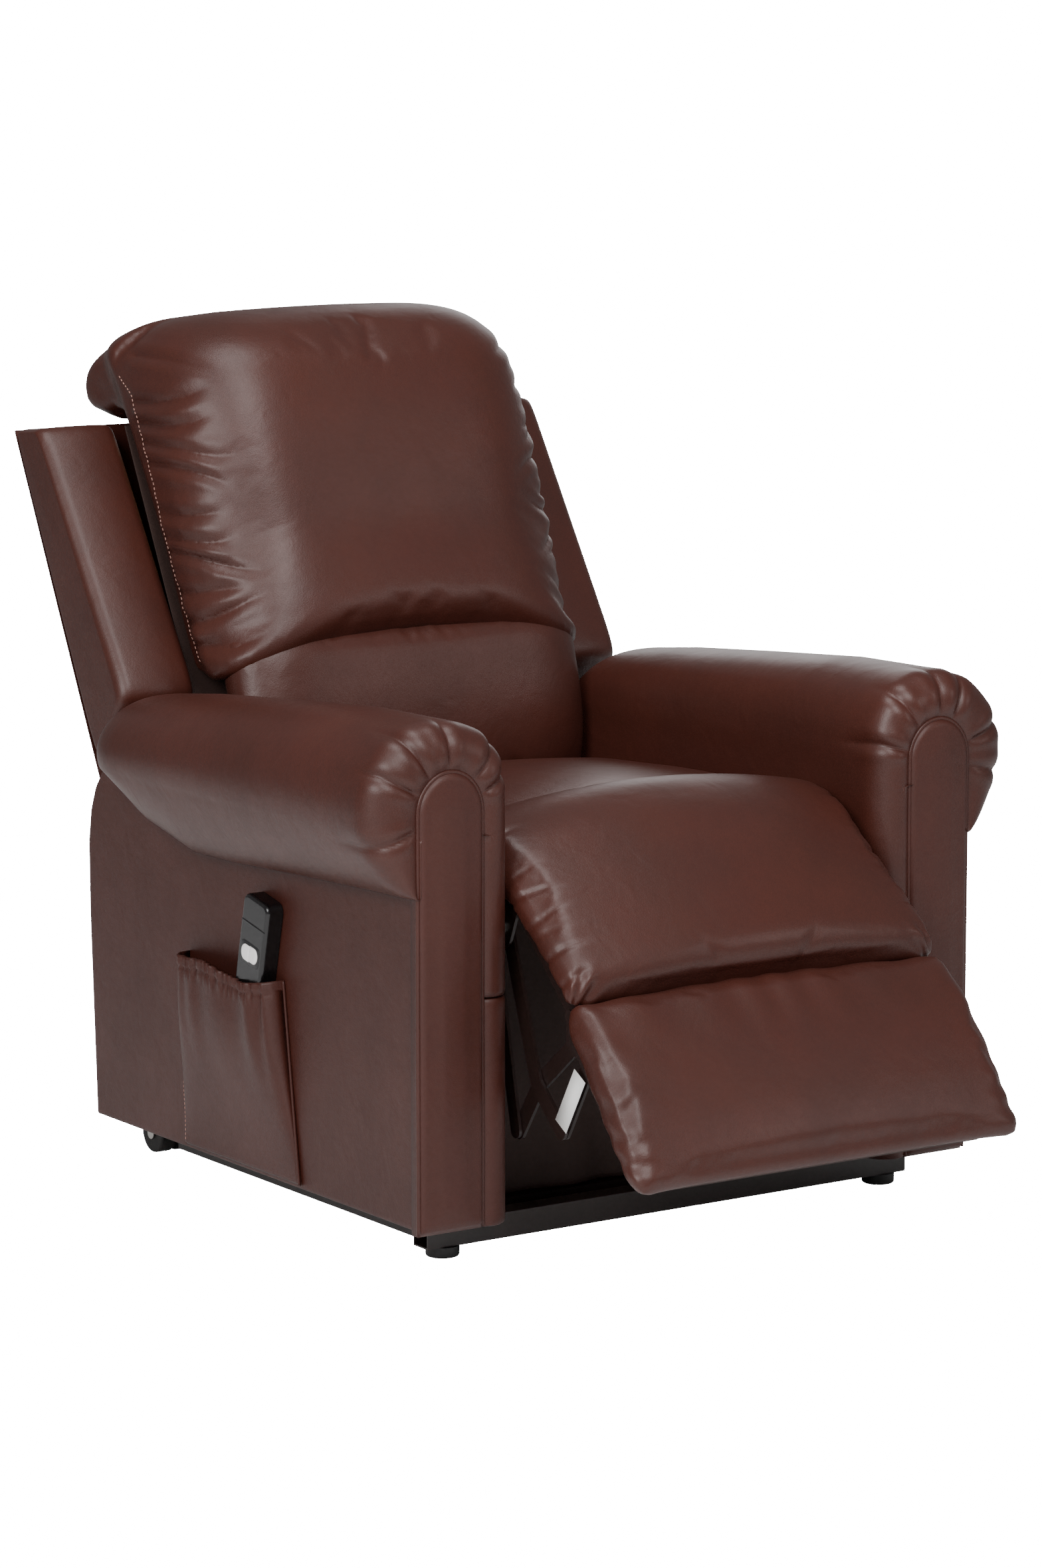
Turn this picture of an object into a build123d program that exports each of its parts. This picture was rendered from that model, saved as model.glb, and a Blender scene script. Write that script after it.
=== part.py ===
"""Power riser recliner: a lift base, a seat unit with padded arms, a reclining back and a scissor footrest.

Millimetres and degrees. +Z is up, the chair faces -Y, and the sitter's left is +X.
Side-view points are (y, z) pairs measured from the front plane of the arms and from the floor.
"""

from build123d import *
import math
import os

os.makedirs("parts", exist_ok=True)

# ---------------------------------------------------------------- overall sizes
seat_width = 526.0        # between the padded inner faces of the two arms
arm_width = 122.0         # seat side of an arm to its outer side panel
seat_depth = 548.0        # front plane of the arms to the rear of the seat cushion
arm_height = 633.0        # floor to the top of the arm roll at the front
arm_fall = 46.0           # how much lower the arm roll is at its rear end
arm_overhang = 74.0       # how far the roll stands out past the side panel
pad_reach = 274.0         # front plane of the arms to the tip of the footrest
back_top = 1018.0         # floor to the top of the head roll

# ---------------------------------------------------------------- boards, tubes and fits
panel_board = 12.0
inner_board = 14.0
top_board = 20.0
post_size = 30.0
rail_size = 30.0
rail_wall = 2.0
foot_height = 13.0
skirt_gap = 2.0           # base rails to the lower edge of the side panels
foot_radius = 20.0
plate = 4.0               # pressed steel plates and link bars
link_gap = 1.0            # between two plates that slide over each other
running_fit = 0.1         # radial clearance of a pin in a moving link
rivet_radius = 4.0
rivet_head = 7.5
pad_gap = 2.0             # soft pads to the boards and arms beside them
joint_gap = 0.5           # glue line between butted timber rails

half_seat = seat_width / 2
half_body = half_seat + arm_width
half_board = half_body - panel_board
arm_length = seat_depth + 92.0
body_depth = arm_length + 91.0
back_reach = arm_length + 340.0
rail_top = foot_height + rail_size
skirt_height = rail_top + skirt_gap
roll_base = arm_height - 127.0
arm_front = -(back_reach - pad_reach) / 2


def at(point):
    """The place of a side-view point in the chair's own Y and Z."""
    return (arm_front + point[0], point[1])


def along(start, direction, distance, normal=(0.0, 0.0), rise=0.0):
    """A side-view point a distance along a direction and a rise along a normal."""
    return (
        start[0] + direction[0] * distance + normal[0] * rise,
        start[1] + direction[1] * distance + normal[1] * rise,
    )


def unit(start, end):
    """The unit side-view vector from one point to another."""
    run = math.dist(start, end)
    return ((end[0] - start[0]) / run, (end[1] - start[1]) / run)


def slab(points, x_start, x_end):
    """A flat piece with a straight-sided side-view outline, from one x to another."""
    with BuildPart() as piece:
        with BuildSketch(Plane.YZ.offset(x_start)):
            with BuildLine():
                Polyline([at(p) for p in points], close=True)
            make_face()
        extrude(amount=x_end - x_start)
    return piece.part


def disc(centre, radius, x_start, x_end):
    """A round pin or disc that lies along X."""
    with BuildPart() as piece:
        with BuildSketch(Plane.YZ.offset(x_start)):
            with Locations(at(centre)):
                Circle(radius)
        extrude(amount=x_end - x_start)
    return piece.part


def bar(start, end, radius, x_start, x_end):
    """A link bar with round ends between two pivots."""
    with BuildPart() as piece:
        with BuildSketch(Plane.YZ.offset(x_start)):
            with Locations(at(start), at(end)):
                Circle(radius)
            make_hull()
        extrude(amount=x_end - x_start)
    return piece.part


def rivet(centre, x_outer, x_inner):
    """A pin with a head at each end."""
    toward = 1 if x_inner > x_outer else -1
    pin = disc(centre, rivet_radius, x_outer, x_inner)
    pin += disc(centre, rivet_head, x_inner, x_inner + toward * 2.5)
    pin += disc(centre, rivet_head, x_outer - toward * 2.5, x_outer)
    return pin


def square_tube(length, centre, axis):
    """A square steel tube with an open bore, centred on a point and lying along X or Y."""
    with BuildPart() as piece:
        with BuildSketch(Plane(origin=centre, x_dir=(0, 0, 1), z_dir=axis)):
            Rectangle(rail_size, rail_size)
            Rectangle(rail_size - 2 * rail_wall, rail_size - 2 * rail_wall, mode=Mode.SUBTRACT)
        extrude(amount=length / 2, both=True)
    return piece.part


def save(piece, name):
    """Labels a finished piece and writes its file."""
    piece.part.label = name
    export_step(piece.part, f"parts/{name}.step")


hands = (("left", 1), ("right", -1))
sides = (1, -1)
across = (1, 0, 0)
lengthways = (0, 1, 0)

# ================================================================ base on the floor
front_rail_y = 56.0
cross_rail_y = 112.0
motor_rail_y = 500.0
side_rail_x = half_seat + 48.0
base_width = 2 * (side_rail_x + 37.0)
rail_z = foot_height + rail_size / 2
rail_side = rail_size / 2
side_rail_start = front_rail_y + rail_side
side_rail_end = arm_length
rear_rail_y = side_rail_end - 25.0
between_rails = 2 * side_rail_x - rail_size

with BuildPart() as base_front_rail:
    add(square_tube(base_width, (0, arm_front + front_rail_y, rail_z), across))
save(base_front_rail, "base_front_rail")

with BuildPart() as base_side_rails:
    rail_middle = arm_front + (side_rail_start + side_rail_end) / 2
    for side in sides:
        rail_centre = (side * side_rail_x, rail_middle, rail_z)
        add(square_tube(side_rail_end - side_rail_start, rail_centre, lengthways))
save(base_side_rails, "base_side_rails")

with BuildPart() as base_cross_rails:
    for rail_y in (cross_rail_y, rear_rail_y):
        add(square_tube(between_rails, (0, arm_front + rail_y, rail_z), across))
save(base_cross_rails, "base_cross_rails")

foot_x = side_rail_x + 7.0
with BuildPart() as front_feet:
    with BuildSketch(Plane.XY):
        with Locations(*[(side * foot_x, arm_front + front_rail_y) for side in sides]):
            Circle(foot_radius)
    extrude(amount=foot_height)
    fillet(front_feet.edges().group_by(Axis.Z)[0], foot_height / 4)
save(front_feet, "front_feet")

# The rail that the lift motor pushes against, with two ears for its lower pivot.
motor_pivot = (motor_rail_y, rail_top + 17.0)
motor_pin_radius = 5.0
ear_radius = 13.0
ear_inner = 9.0
ear_plate = 5.0
with BuildPart() as base_motor_rail:
    add(square_tube(between_rails, (0, arm_front + motor_rail_y, rail_z), across))
    for side in sides:
        ear_foot = (motor_rail_y, rail_top)
        add(bar(ear_foot, motor_pivot, ear_radius, side * ear_inner, side * (ear_inner + ear_plate)))
    tube_bore = rail_size - 2 * rail_wall
    with Locations((0, arm_front + motor_rail_y, rail_z)):
        Box(between_rails, tube_bore, tube_bore, mode=Mode.SUBTRACT)
    add(disc(motor_pivot, motor_pin_radius, -ear_inner - ear_plate, ear_inner + ear_plate))
save(base_motor_rail, "base_motor_rail")

# Twin transport wheels on a plate behind each side rail.
wheel_radius = 25.0
wheel_width = 21.5
axle_radius = 4.0
wheel_plate_half = 2.0
wheel_side_gap = 1.0
wheel_plate_x = side_rail_x
wheel_y = side_rail_end + wheel_radius + 23.0
wheel_centre = (wheel_y, wheel_radius)
with BuildPart() as wheel_plates:
    for side in sides:
        x_in = side * (wheel_plate_x - wheel_plate_half)
        x_out = side * (wheel_plate_x + wheel_plate_half)
        rail_end = [
            (side_rail_end, foot_height),
            (wheel_y, foot_height),
            (wheel_y, rail_top - rail_wall),
            (side_rail_end, rail_top - rail_wall),
        ]
        add(slab(rail_end, x_in, x_out))
        add(disc(wheel_centre, rail_side, x_in, x_out))
        add(disc(wheel_centre, axle_radius, x_in, x_out), mode=Mode.SUBTRACT)
save(wheel_plates, "wheel_plates")

axle_half = wheel_plate_half + wheel_side_gap + wheel_width
with BuildPart() as wheel_axles:
    for side in sides:
        x_in = side * (wheel_plate_x - axle_half - wheel_side_gap)
        x_out = side * (wheel_plate_x + axle_half + wheel_side_gap)
        add(disc(wheel_centre, axle_radius, x_in, x_out))
        add(disc(wheel_centre, rivet_head, x_in, x_in - side * 1.5))
        add(disc(wheel_centre, rivet_head, x_out, x_out + side * 1.5))
save(wheel_axles, "wheel_axles")

for hand, side in hands:
    for place, toward in (("outer", 1), ("inner", -1)):
        near = wheel_plate_x + toward * (wheel_plate_half + wheel_side_gap)
        far = near + toward * wheel_width
        with BuildPart() as wheel:
            add(disc(wheel_centre, wheel_radius, side * near, side * far))
            tread = wheel.edges().filter_by(GeomType.CIRCLE).sort_by(lambda e: e.radius)[-2:]
            fillet(tread, wheel_width / 8)
            add(disc(wheel_centre, axle_radius + running_fit, side * near, side * far), mode=Mode.SUBTRACT)
        save(wheel, f"wheel_{hand}_{place}")

# Towers that carry the front pivots of the two lift links on each side.
lower_front = (130.0, rail_top + 17.0)
upper_front = (110.3, rail_top + 58.7)
lift_pin_radius = 6.0
lift_pin_head = 10.0
lift_bar_radius = 14.0
lift_plate = 5.0
lift_gap = 1.5
tower_x = side_rail_x - rail_side
link_x = tower_x + lift_plate + lift_gap
bracket_x = link_x + lift_plate + lift_gap
with BuildPart() as lift_towers:
    for side in sides:
        foot_line = [
            (lower_front[0] - 45.0, rail_top),
            (lower_front[0] + 35.0, rail_top),
            (lower_front[0] + 14.0, lower_front[1] + 20.0),
            (upper_front[0] + 13.0, upper_front[1] + 14.0),
            (upper_front[0] - 12.0, upper_front[1] + 14.0),
            (upper_front[0] - 18.0, upper_front[1] - 20.0),
        ]
        add(slab(foot_line, side * tower_x, side * (tower_x + lift_plate)))
        for pivot in (lower_front, upper_front):
            pin_end = link_x + lift_plate + lift_gap / 3
            add(disc(pivot, lift_pin_radius, side * tower_x, side * pin_end))
            add(disc(pivot, lift_pin_head, side * pin_end, side * (pin_end + 2.5)))
save(lift_towers, "lift_towers")

# ================================================================ lift links
lower_rear = (500.0, rail_top + 42.0)
upper_rear = (520.0, rail_top + 217.0)
open_fit = 1.2            # the rear pivot of the upper link is the one that closes the loop

with BuildPart() as lower_lift_links:
    for side in sides:
        x_in = side * link_x
        x_out = side * (link_x + lift_plate)
        add(bar(lower_front, lower_rear, lift_bar_radius, x_in, x_out))
        for pivot in (lower_front, lower_rear):
            add(disc(pivot, lift_pin_radius + running_fit, x_in, x_out), mode=Mode.SUBTRACT)
save(lower_lift_links, "lower_lift_links")

with BuildPart() as upper_lift_links:
    for side in sides:
        x_in = side * link_x
        x_out = side * (link_x + lift_plate)
        add(bar(upper_front, upper_rear, lift_bar_radius, x_in, x_out))
        add(disc(upper_front, lift_pin_radius + running_fit, x_in, x_out), mode=Mode.SUBTRACT)
        add(disc(upper_rear, lift_pin_radius + open_fit, x_in, x_out), mode=Mode.SUBTRACT)
save(upper_lift_links, "upper_lift_links")

# ================================================================ lift motor
rod_pivot = (430.0, 340.0)
motor_axis = unit(motor_pivot, rod_pivot)
motor_reach = math.dist(motor_pivot, rod_pivot)
tube_radius = 17.0
rod_radius = 10.5
case_start = 16.0
case_end = 66.0
case_half = 23.0
tube_start = 30.0
eye_radius = 13.0
eye_half = 7.0
rod_eye_hole = 9.5        # the upper eye is opened, because the motor swings on a fixed ratio
motor_can_radius = 26.0
motor_can_x = 52.0
motor_can_length = 110.0
tube_end = motor_reach - eye_radius - 10.0


def on_motor(distance):
    """A plane square to the motor's axis, a distance up from its lower pivot."""
    y, z = at(along(motor_pivot, motor_axis, distance))
    return Plane(origin=(0, y, z), x_dir=(1, 0, 0), z_dir=(0, motor_axis[0], motor_axis[1]))


with BuildPart() as motor_case:
    with BuildSketch(on_motor(case_start)):
        with Locations((motor_can_x / 2, 0)):
            RectangleRounded(2 * case_half + motor_can_x, 2 * case_half, case_half / 3)
    extrude(amount=case_end - case_start)
    with BuildSketch(on_motor(case_end)):
        with Locations((motor_can_x, 0)):
            Circle(motor_can_radius - 4)
    extrude(amount=motor_can_length)
    with BuildSketch(on_motor(tube_start)):
        Circle(tube_radius)
    extrude(amount=case_end, mode=Mode.SUBTRACT)
    lug_top = along(motor_pivot, motor_axis, case_start + 1.0)
    add(bar(motor_pivot, lug_top, eye_radius, -eye_half, eye_half))
    add(disc(motor_pivot, motor_pin_radius + running_fit, -eye_half, eye_half), mode=Mode.SUBTRACT)
save(motor_case, "motor_case")

with BuildPart() as motor_tube:
    with BuildSketch(on_motor(tube_start)):
        Circle(tube_radius)
    extrude(amount=tube_end - tube_start)
    with BuildSketch(on_motor(tube_start + 3.0)):
        Circle(rod_radius + running_fit)
    extrude(amount=tube_end, mode=Mode.SUBTRACT)
save(motor_tube, "motor_tube")

with BuildPart() as motor_rod:
    with BuildSketch(on_motor(tube_start + 4.0)):
        Circle(rod_radius)
    extrude(amount=motor_reach - tube_start - 4.0 - eye_radius + 2.0)
    add(disc(rod_pivot, eye_radius, -eye_half, eye_half))
    add(disc(rod_pivot, rod_eye_hole, -eye_half, eye_half), mode=Mode.SUBTRACT)
save(motor_rod, "motor_rod")

pack_width = 110.0
pack_depth = 62.0
pack_height = 40.0
pack_x = -150.0
with BuildPart() as power_pack:
    pack_base = Plane(origin=(pack_x, arm_front + rear_rail_y, rail_top))
    with BuildSketch(pack_base):
        RectangleRounded(pack_width, pack_depth, 8.0)
    extrude(amount=pack_height)
    fillet(power_pack.edges().group_by(Axis.Z)[-1], 4.0)
save(power_pack, "power_pack")

inlet_centre = (pack_x, arm_front + rear_rail_y + pack_depth / 2, rail_top + pack_height / 2)
inlet_face = Plane(origin=inlet_centre, x_dir=(1, 0, 0), z_dir=lengthways)
with BuildPart() as power_inlet:
    with BuildSketch(inlet_face):
        RectangleRounded(27.0, 19.0, 3.0)
    extrude(amount=6.0)
    with BuildSketch(inlet_face.offset(6.0)):
        RectangleRounded(20.0, 12.0, 2.0)
    extrude(amount=-4.0, mode=Mode.SUBTRACT)
save(power_inlet, "power_inlet")

# ================================================================ seat unit: steel and timber
seat_rail_base = 385.0
seat_rail_height = 30.0
seat_front_rail = 85.0
seat_rear_rail = seat_depth - 13.0
mech_x = half_seat - 17.0            # inner face of the mechanism plates
layer_a = mech_x - link_gap - plate       # inner face of the outermost links
layer_b = layer_a - link_gap - plate      # inner face of the links inside those
calf_pivot = (16.0, 420.0)
long_pivot = (32.2, 382.3)
rear_pivot = (60.0, 360.0)
back_pivot = (arm_length - 40.0, 420.0)
mech_top = seat_rail_base
mech_base = 345.0

with BuildPart() as mechanism_plates:
    for side in sides:
        outline = [
            (calf_pivot[0] - 14.0, calf_pivot[1] - 15.0),
            (calf_pivot[0] - 8.0, calf_pivot[1] + 8.0),
            (calf_pivot[0] + 10.0, calf_pivot[1] + 8.0),
            (calf_pivot[0] + 48.0, seat_rail_base + 15.0),
            (calf_pivot[0] + 48.0, mech_top),
            (seat_rear_rail + 18.0, mech_top),
            (back_pivot[0] - 25.0, back_pivot[1] + 12.0),
            (back_pivot[0] + 12.0, back_pivot[1] + 16.0),
            (back_pivot[0] + 20.0, back_pivot[1] - 12.0),
            (back_pivot[0] - 30.0, mech_base),
            (rear_pivot[0] + 20.0, mech_base - 5.0),
            (rear_pivot[0] - 12.0, rear_pivot[1] - 16.0),
            (long_pivot[0] - 14.0, long_pivot[1] - 17.0),
        ]
        x_in = side * mech_x
        x_out = side * (mech_x + plate)
        add(slab(outline, x_in, x_out))
        for pivot in (calf_pivot, long_pivot, rear_pivot, back_pivot):
            add(disc(pivot, rivet_radius, x_in, x_out), mode=Mode.SUBTRACT)
save(mechanism_plates, "mechanism_plates")

with BuildPart() as mechanism_pins:
    for side in sides:
        for pivot in (calf_pivot, long_pivot, rear_pivot, back_pivot):
            add(rivet(pivot, side * (mech_x + plate), side * (layer_a - 0.3)))
save(mechanism_pins, "mechanism_pins")

with BuildPart() as seat_rails:
    for rail_y in (seat_front_rail, seat_rear_rail):
        with BuildSketch(Plane.XY.offset(seat_rail_base)):
            with Locations((0, arm_front + rail_y)):
                Rectangle(seat_width, post_size)
        extrude(amount=seat_rail_height)
save(seat_rails, "seat_rails")

# Sinuous springs hooked between the front and rear seat rails.
spring_count = 5
spring_wire = 1.9
spring_half = 24.0
spring_turns = 13
spring_z = seat_rail_base + seat_rail_height - 8.0
spring_start = seat_front_rail + post_size / 2 + 2 * spring_wire
spring_end = seat_rear_rail - post_size / 2 - 2 * spring_wire
spring_pitch = (spring_end - spring_start) / (spring_turns + 1)
spring_points = [(0, arm_front + spring_start)]
for turn in range(spring_turns):
    turn_y = arm_front + spring_start + spring_pitch * (turn + 1)
    turn_side = spring_half if turn % 2 else -spring_half
    spring_points += [(turn_side, turn_y - spring_pitch / 2), (turn_side, turn_y + spring_pitch / 2)]
spring_points += [(0, arm_front + spring_end)]
with BuildPart() as one_spring:
    with BuildLine(Plane.XY.offset(spring_z)) as spring_wire_path:
        FilletPolyline(spring_points, radius=spring_pitch * 0.3)
    with BuildSketch(spring_wire_path.line ^ 0):
        Circle(spring_wire)
    sweep(path=spring_wire_path.line)
spring_spacing = seat_width / (spring_count + 1)
with BuildPart() as seat_springs:
    with GridLocations(spring_spacing, 1, spring_count, 1):
        add(one_spring.part)
save(seat_springs, "seat_springs")

# Cross tube and lugs that the lift motor pushes on.
drive_tube_radius = 12.0
drive_centre = (445.0, 365.0)
lug_inner = rod_radius + 1.5
with BuildPart() as drive_tube:
    add(disc(drive_centre, drive_tube_radius, -mech_x, mech_x))
    for side in sides:
        lug = bar(drive_centre, rod_pivot, ear_radius - 2.0, side * lug_inner, side * (lug_inner + ear_plate))
        add(lug)
    add(disc(rod_pivot, motor_pin_radius, -lug_inner - ear_plate, lug_inner + ear_plate))
save(drive_tube, "drive_tube")

# Brackets under the arms that the lift links carry the whole seat unit by.
bracket_half = 26.0
with BuildPart() as lift_brackets:
    for side in sides:
        outline = [
            (lower_rear[0] - bracket_half, lower_rear[1] - 18.0),
            (lower_rear[0] + bracket_half, lower_rear[1] - 18.0),
            (upper_rear[0] + bracket_half, upper_rear[1]),
            (upper_rear[0] + bracket_half, roll_base - top_board - 1.0),
            (upper_rear[0] - bracket_half - 20.0, roll_base - top_board - 1.0),
        ]
        x_in = side * bracket_x
        x_out = side * (bracket_x + lift_plate)
        add(slab(outline, x_in, x_out))
        for pivot in (lower_rear, upper_rear):
            pin_end = link_x - lift_gap / 3
            add(disc(pivot, lift_pin_radius, x_in, side * pin_end))
            add(disc(pivot, lift_pin_head, side * pin_end, side * (pin_end - 2.5)))
save(lift_brackets, "lift_brackets")

# ================================================================ arms
arm_rear = arm_length - 40.0
with BuildPart() as arm_frames:
    for side in sides:
        for rail_low, rail_high, x_near, y_near, y_far in (
            (skirt_height + 10.0, skirt_height + 50.0, half_board - post_size, 6.0, body_depth - 31.0),
            (roll_base - top_board - 1.0, roll_base - 1.0, half_seat + inner_board, 20.0, arm_rear),
        ):
            outline = [(y_near, rail_low), (y_far, rail_low), (y_far, rail_high), (y_near, rail_high)]
            add(slab(outline, side * x_near, side * half_board))
        for post_y in (20.0, arm_rear - post_size):
            foot_z = skirt_height + 50.0 + joint_gap
            head_z = roll_base - top_board - 1.0 - joint_gap
            outline = [
                (post_y, foot_z),
                (post_y + post_size, foot_z),
                (post_y + post_size, head_z),
                (post_y, head_z),
            ]
            add(slab(outline, side * (half_board - post_size), side * half_board))
save(arm_frames, "arm_frames")

for hand, side in hands:
    with BuildPart() as side_panel:
        outline = [
            (5.0, skirt_height),
            (body_depth, skirt_height),
            (body_depth + 15.0, 388.0),
            (arm_length + 40.0, roll_base - 1.0),
            (5.0, roll_base - 1.0),
        ]
        add(slab(outline, side * half_board, side * half_body))
    save(side_panel, f"side_panel_{hand}")

    with BuildPart() as inner_arm:
        outline = [
            (20.0, skirt_height + 30.0),
            (arm_length, skirt_height + 60.0),
            (arm_length, roll_base - 1.0),
            (20.0, roll_base - 1.0),
        ]
        add(slab(outline, side * half_seat, side * (half_seat + inner_board)))
    save(inner_arm, f"inner_arm_{hand}")

border_width = 37.0
border_back = 19.0
border_front = -12.0
arch_top = arm_height - 55.0
arch_side = arm_height - 103.0
pinch_z = arm_height - 183.0
tip_z = arm_height - 195.0
roll_out = half_body + arm_overhang
roll_mid_x = (half_seat + roll_out) / 2 - 8.0
roll_bulge_z = arm_height - 99.0


def arch_line(side, inset):
    """The front panel's outline in x and z: straight sides, a slight bulge and a round top."""
    low_in = (side * (half_seat + border_width + inset), skirt_height + inset)
    low_out = (side * (half_body - inset), skirt_height + inset)
    pinch = (side * (half_body - inset), pinch_z)
    shoulder_out = (side * (half_body + 5.0 - inset), arch_side)
    top = (side * (half_seat + border_width + half_body + 5.0) / 2, arch_top - inset)
    shoulder_in = (side * (half_seat + border_width + inset), arch_side)
    with BuildLine() as line:
        Polyline([shoulder_in, low_in, low_out, pinch, shoulder_out])
        ThreePointArc(shoulder_out, top, shoulder_in)
    return line.line


def roll_line(side):
    """The arm roll's section in x and z, from its tip over the outside and top to the seat side."""
    tip = (side * (half_body + 10.0), tip_z)
    under = (side * (half_body + 42.0), tip_z + 20.0)
    outmost = (side * roll_out, roll_bulge_z)
    shoulder = (side * (roll_out - 30.0), arm_height - 35.0)
    crown = (side * roll_mid_x, arm_height)
    inner_top = (side * (half_seat + 8.0), arm_height - 32.0)
    seat_side = (side * half_seat, roll_base)
    return tip, under, outmost, shoulder, crown, inner_top, seat_side


for hand, side in hands:
    tip, under, outmost, shoulder, crown, inner_top, seat_side = roll_line(side)
    with BuildPart() as arm_front_panel:
        with BuildSketch(Plane.XZ.offset(-arm_front - 4.0)):
            with BuildLine():
                add(arch_line(side, 1.0))
            make_face()
        extrude(amount=22.0)
    save(arm_front_panel, f"arm_front_{hand}")

    with BuildPart() as arm_border:
        with BuildSketch(Plane.XZ.offset(-arm_front - border_back)):
            with BuildLine():
                ThreePointArc(tip, under, outmost)
                ThreePointArc(outmost, shoulder, crown)
                low_in = (side * half_seat, skirt_height)
                low_out = (side * (half_body + 1.0), skirt_height)
                Polyline([crown, inner_top, seat_side, low_in, low_out, (low_out[0], pinch_z - 9.0), tip])
            make_face()
            with BuildLine():
                add(arch_line(side, -0.2))
            make_face(mode=Mode.SUBTRACT)
            with Locations((side * half_body, skirt_height)):
                Rectangle(4.0, 2 * (pinch_z - skirt_height - 9.0), mode=Mode.SUBTRACT)
        extrude(amount=border_back - border_front)
    save(arm_border, f"arm_border_{hand}")

    roll_start = border_back + 1.0
    with BuildPart() as arm_roll:
        with BuildSketch(Plane.XZ.offset(-arm_front - roll_start)):
            with BuildLine():
                board_edge = (side * (half_body + 1.0), roll_base)
                low_edge = (side * (half_body + 1.0), tip_z + 8.0)
                ThreePointArc(tip, under, outmost)
                ThreePointArc(outmost, shoulder, crown)
                Polyline([crown, inner_top, seat_side, board_edge, low_edge, tip])
            make_face()
        extrude(amount=-(arm_length - roll_start))
        with BuildSketch(Plane.YZ):
            with BuildLine():
                rear_top = at((arm_length - 30.0, arm_height - arm_fall))
                rear_end = at((arm_length, arm_height - arm_fall - 35.0))
                rear_low = at((arm_length - 14.0, roll_base + 10.0))
                Polyline([at((0, tip_z - 30.0)), at((0, arm_height + 1.0)), rear_top])
                Polyline([rear_top, rear_end, rear_low, at((arm_length - 90.0, tip_z - 2.0))])
                Line(at((arm_length - 90.0, tip_z - 2.0)), at((0, tip_z - 30.0)))
            make_face()
        extrude(amount=2 * half_body, both=True, mode=Mode.INTERSECT)
    save(arm_roll, f"arm_roll_{hand}")

rear_panel_top = 350.0
rear_panel_low = 2 * wheel_radius + 10.0
rear_panel_y = body_depth - 15.0
with BuildPart() as rear_panel:
    outline = [
        (rear_panel_y, rear_panel_low),
        (rear_panel_y + panel_board, rear_panel_low),
        (rear_panel_y + panel_board, rear_panel_top),
        (rear_panel_y, rear_panel_top),
    ]
    add(slab(outline, -half_board, half_board))
save(rear_panel, "rear_panel")

flap_half = 160.0
flap_y = seat_front_rail + post_size / 2
with BuildPart() as footrest_flap:
    outline = [(flap_y, 76.0), (flap_y + 2.0, 76.0), (flap_y + 2.0, 400.0), (flap_y, 400.0)]
    add(slab(outline, -flap_half, flap_half))
save(footrest_flap, "footrest_flap")

# ================================================================ seat cushion
seat_crown = 500.0
seat_side_top = 476.0
cushion_base = seat_rail_base + seat_rail_height + 1.0
cushion_front = calf_pivot[0] + 28.0
with BuildPart() as seat_cushion:
    with BuildSketch(Plane.YZ.offset(-(half_seat - pad_gap))):
        with BuildLine():
            Polyline(
                [
                    at((cushion_front, cushion_base)),
                    at((cushion_front, cushion_base + 36.0)),
                    at((cushion_front + 30.0, seat_side_top)),
                    at((cushion_front + 80.0, seat_crown)),
                    at((cushion_front + 280.0, seat_crown)),
                    at((seat_depth, seat_side_top)),
                    at((seat_depth, cushion_base)),
                ],
                close=True,
            )
        make_face()
    extrude(amount=seat_width - 2 * pad_gap)
save(seat_cushion, "seat_cushion")

# ================================================================ footrest
pad_seam = (-122.0, 319.0)
pad_tip = (-pad_reach + 1.0, 136.0)
foot_pivot = (-105.0, 302.0)
middle_pivot = (-28.0, 209.0)
stay_pivot = (-76.7, 162.9)
rear_joint = (14.0, 146.0)
cross_top = (-103.8, 271.0)
stay_top = (-130.0, 256.0)
stud_radius = 3.5
link_radius = 10.5
calf_length = math.dist(calf_pivot, foot_pivot)
calf_down = unit(calf_pivot, foot_pivot)
calf_out = (calf_down[1], -calf_down[0])
foot_down = unit(pad_seam, pad_tip)
foot_out = (foot_down[1], -foot_down[0])
calf_half = half_seat - 1.0
foot_half = half_seat + 7.0
foot_pad_length = math.dist(pad_seam, pad_tip)


def block(start, down, out, run_start, run_end, rise_start, rise_end, half_width):
    """A flat block laid along a sloping side-view direction, centred on x = 0."""
    outline = [
        along(start, down, run_start, out, rise_start),
        along(start, down, run_end, out, rise_start),
        along(start, down, run_end, out, rise_end),
        along(start, down, run_start, out, rise_end),
    ]
    return slab(outline, -half_width, half_width)


calf_strap = 4.0
calf_board_end = 12.0
calf_surface = 25.0
board_half = layer_b - 8.0
with BuildPart() as calf_frame:
    for side in sides:
        x_in = side * layer_a
        x_out = side * (layer_a + plate)
        add(bar(calf_pivot, foot_pivot, rivet_radius + 6.0, x_in, x_out))
        add(disc(calf_pivot, rivet_radius + running_fit, x_in, x_out), mode=Mode.SUBTRACT)
        add(disc(foot_pivot, rivet_radius, x_in, side * (mech_x + plate + 0.3)))
        add(disc(foot_pivot, rivet_head, side * (mech_x + plate + 0.3), side * (mech_x + plate + 2.5)))
    for strap_run in (35.0, 110.0):
        strap_end = strap_run + 25.0
        add(block(calf_pivot, calf_down, calf_out, strap_run, strap_end, 0, calf_strap, layer_a + plate))
save(calf_frame, "calf_frame")

with BuildPart() as calf_board:
    run_end = calf_length - 14.0
    add(block(calf_pivot, calf_down, calf_out, 14.0, run_end, calf_strap, calf_board_end, board_half))
save(calf_board, "calf_board")

with BuildPart() as calf_pad:
    rise_end = calf_surface
    add(block(calf_pivot, calf_down, calf_out, 0, calf_length - 6.0, calf_board_end, rise_end, calf_half))
save(calf_pad, "calf_pad")

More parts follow.
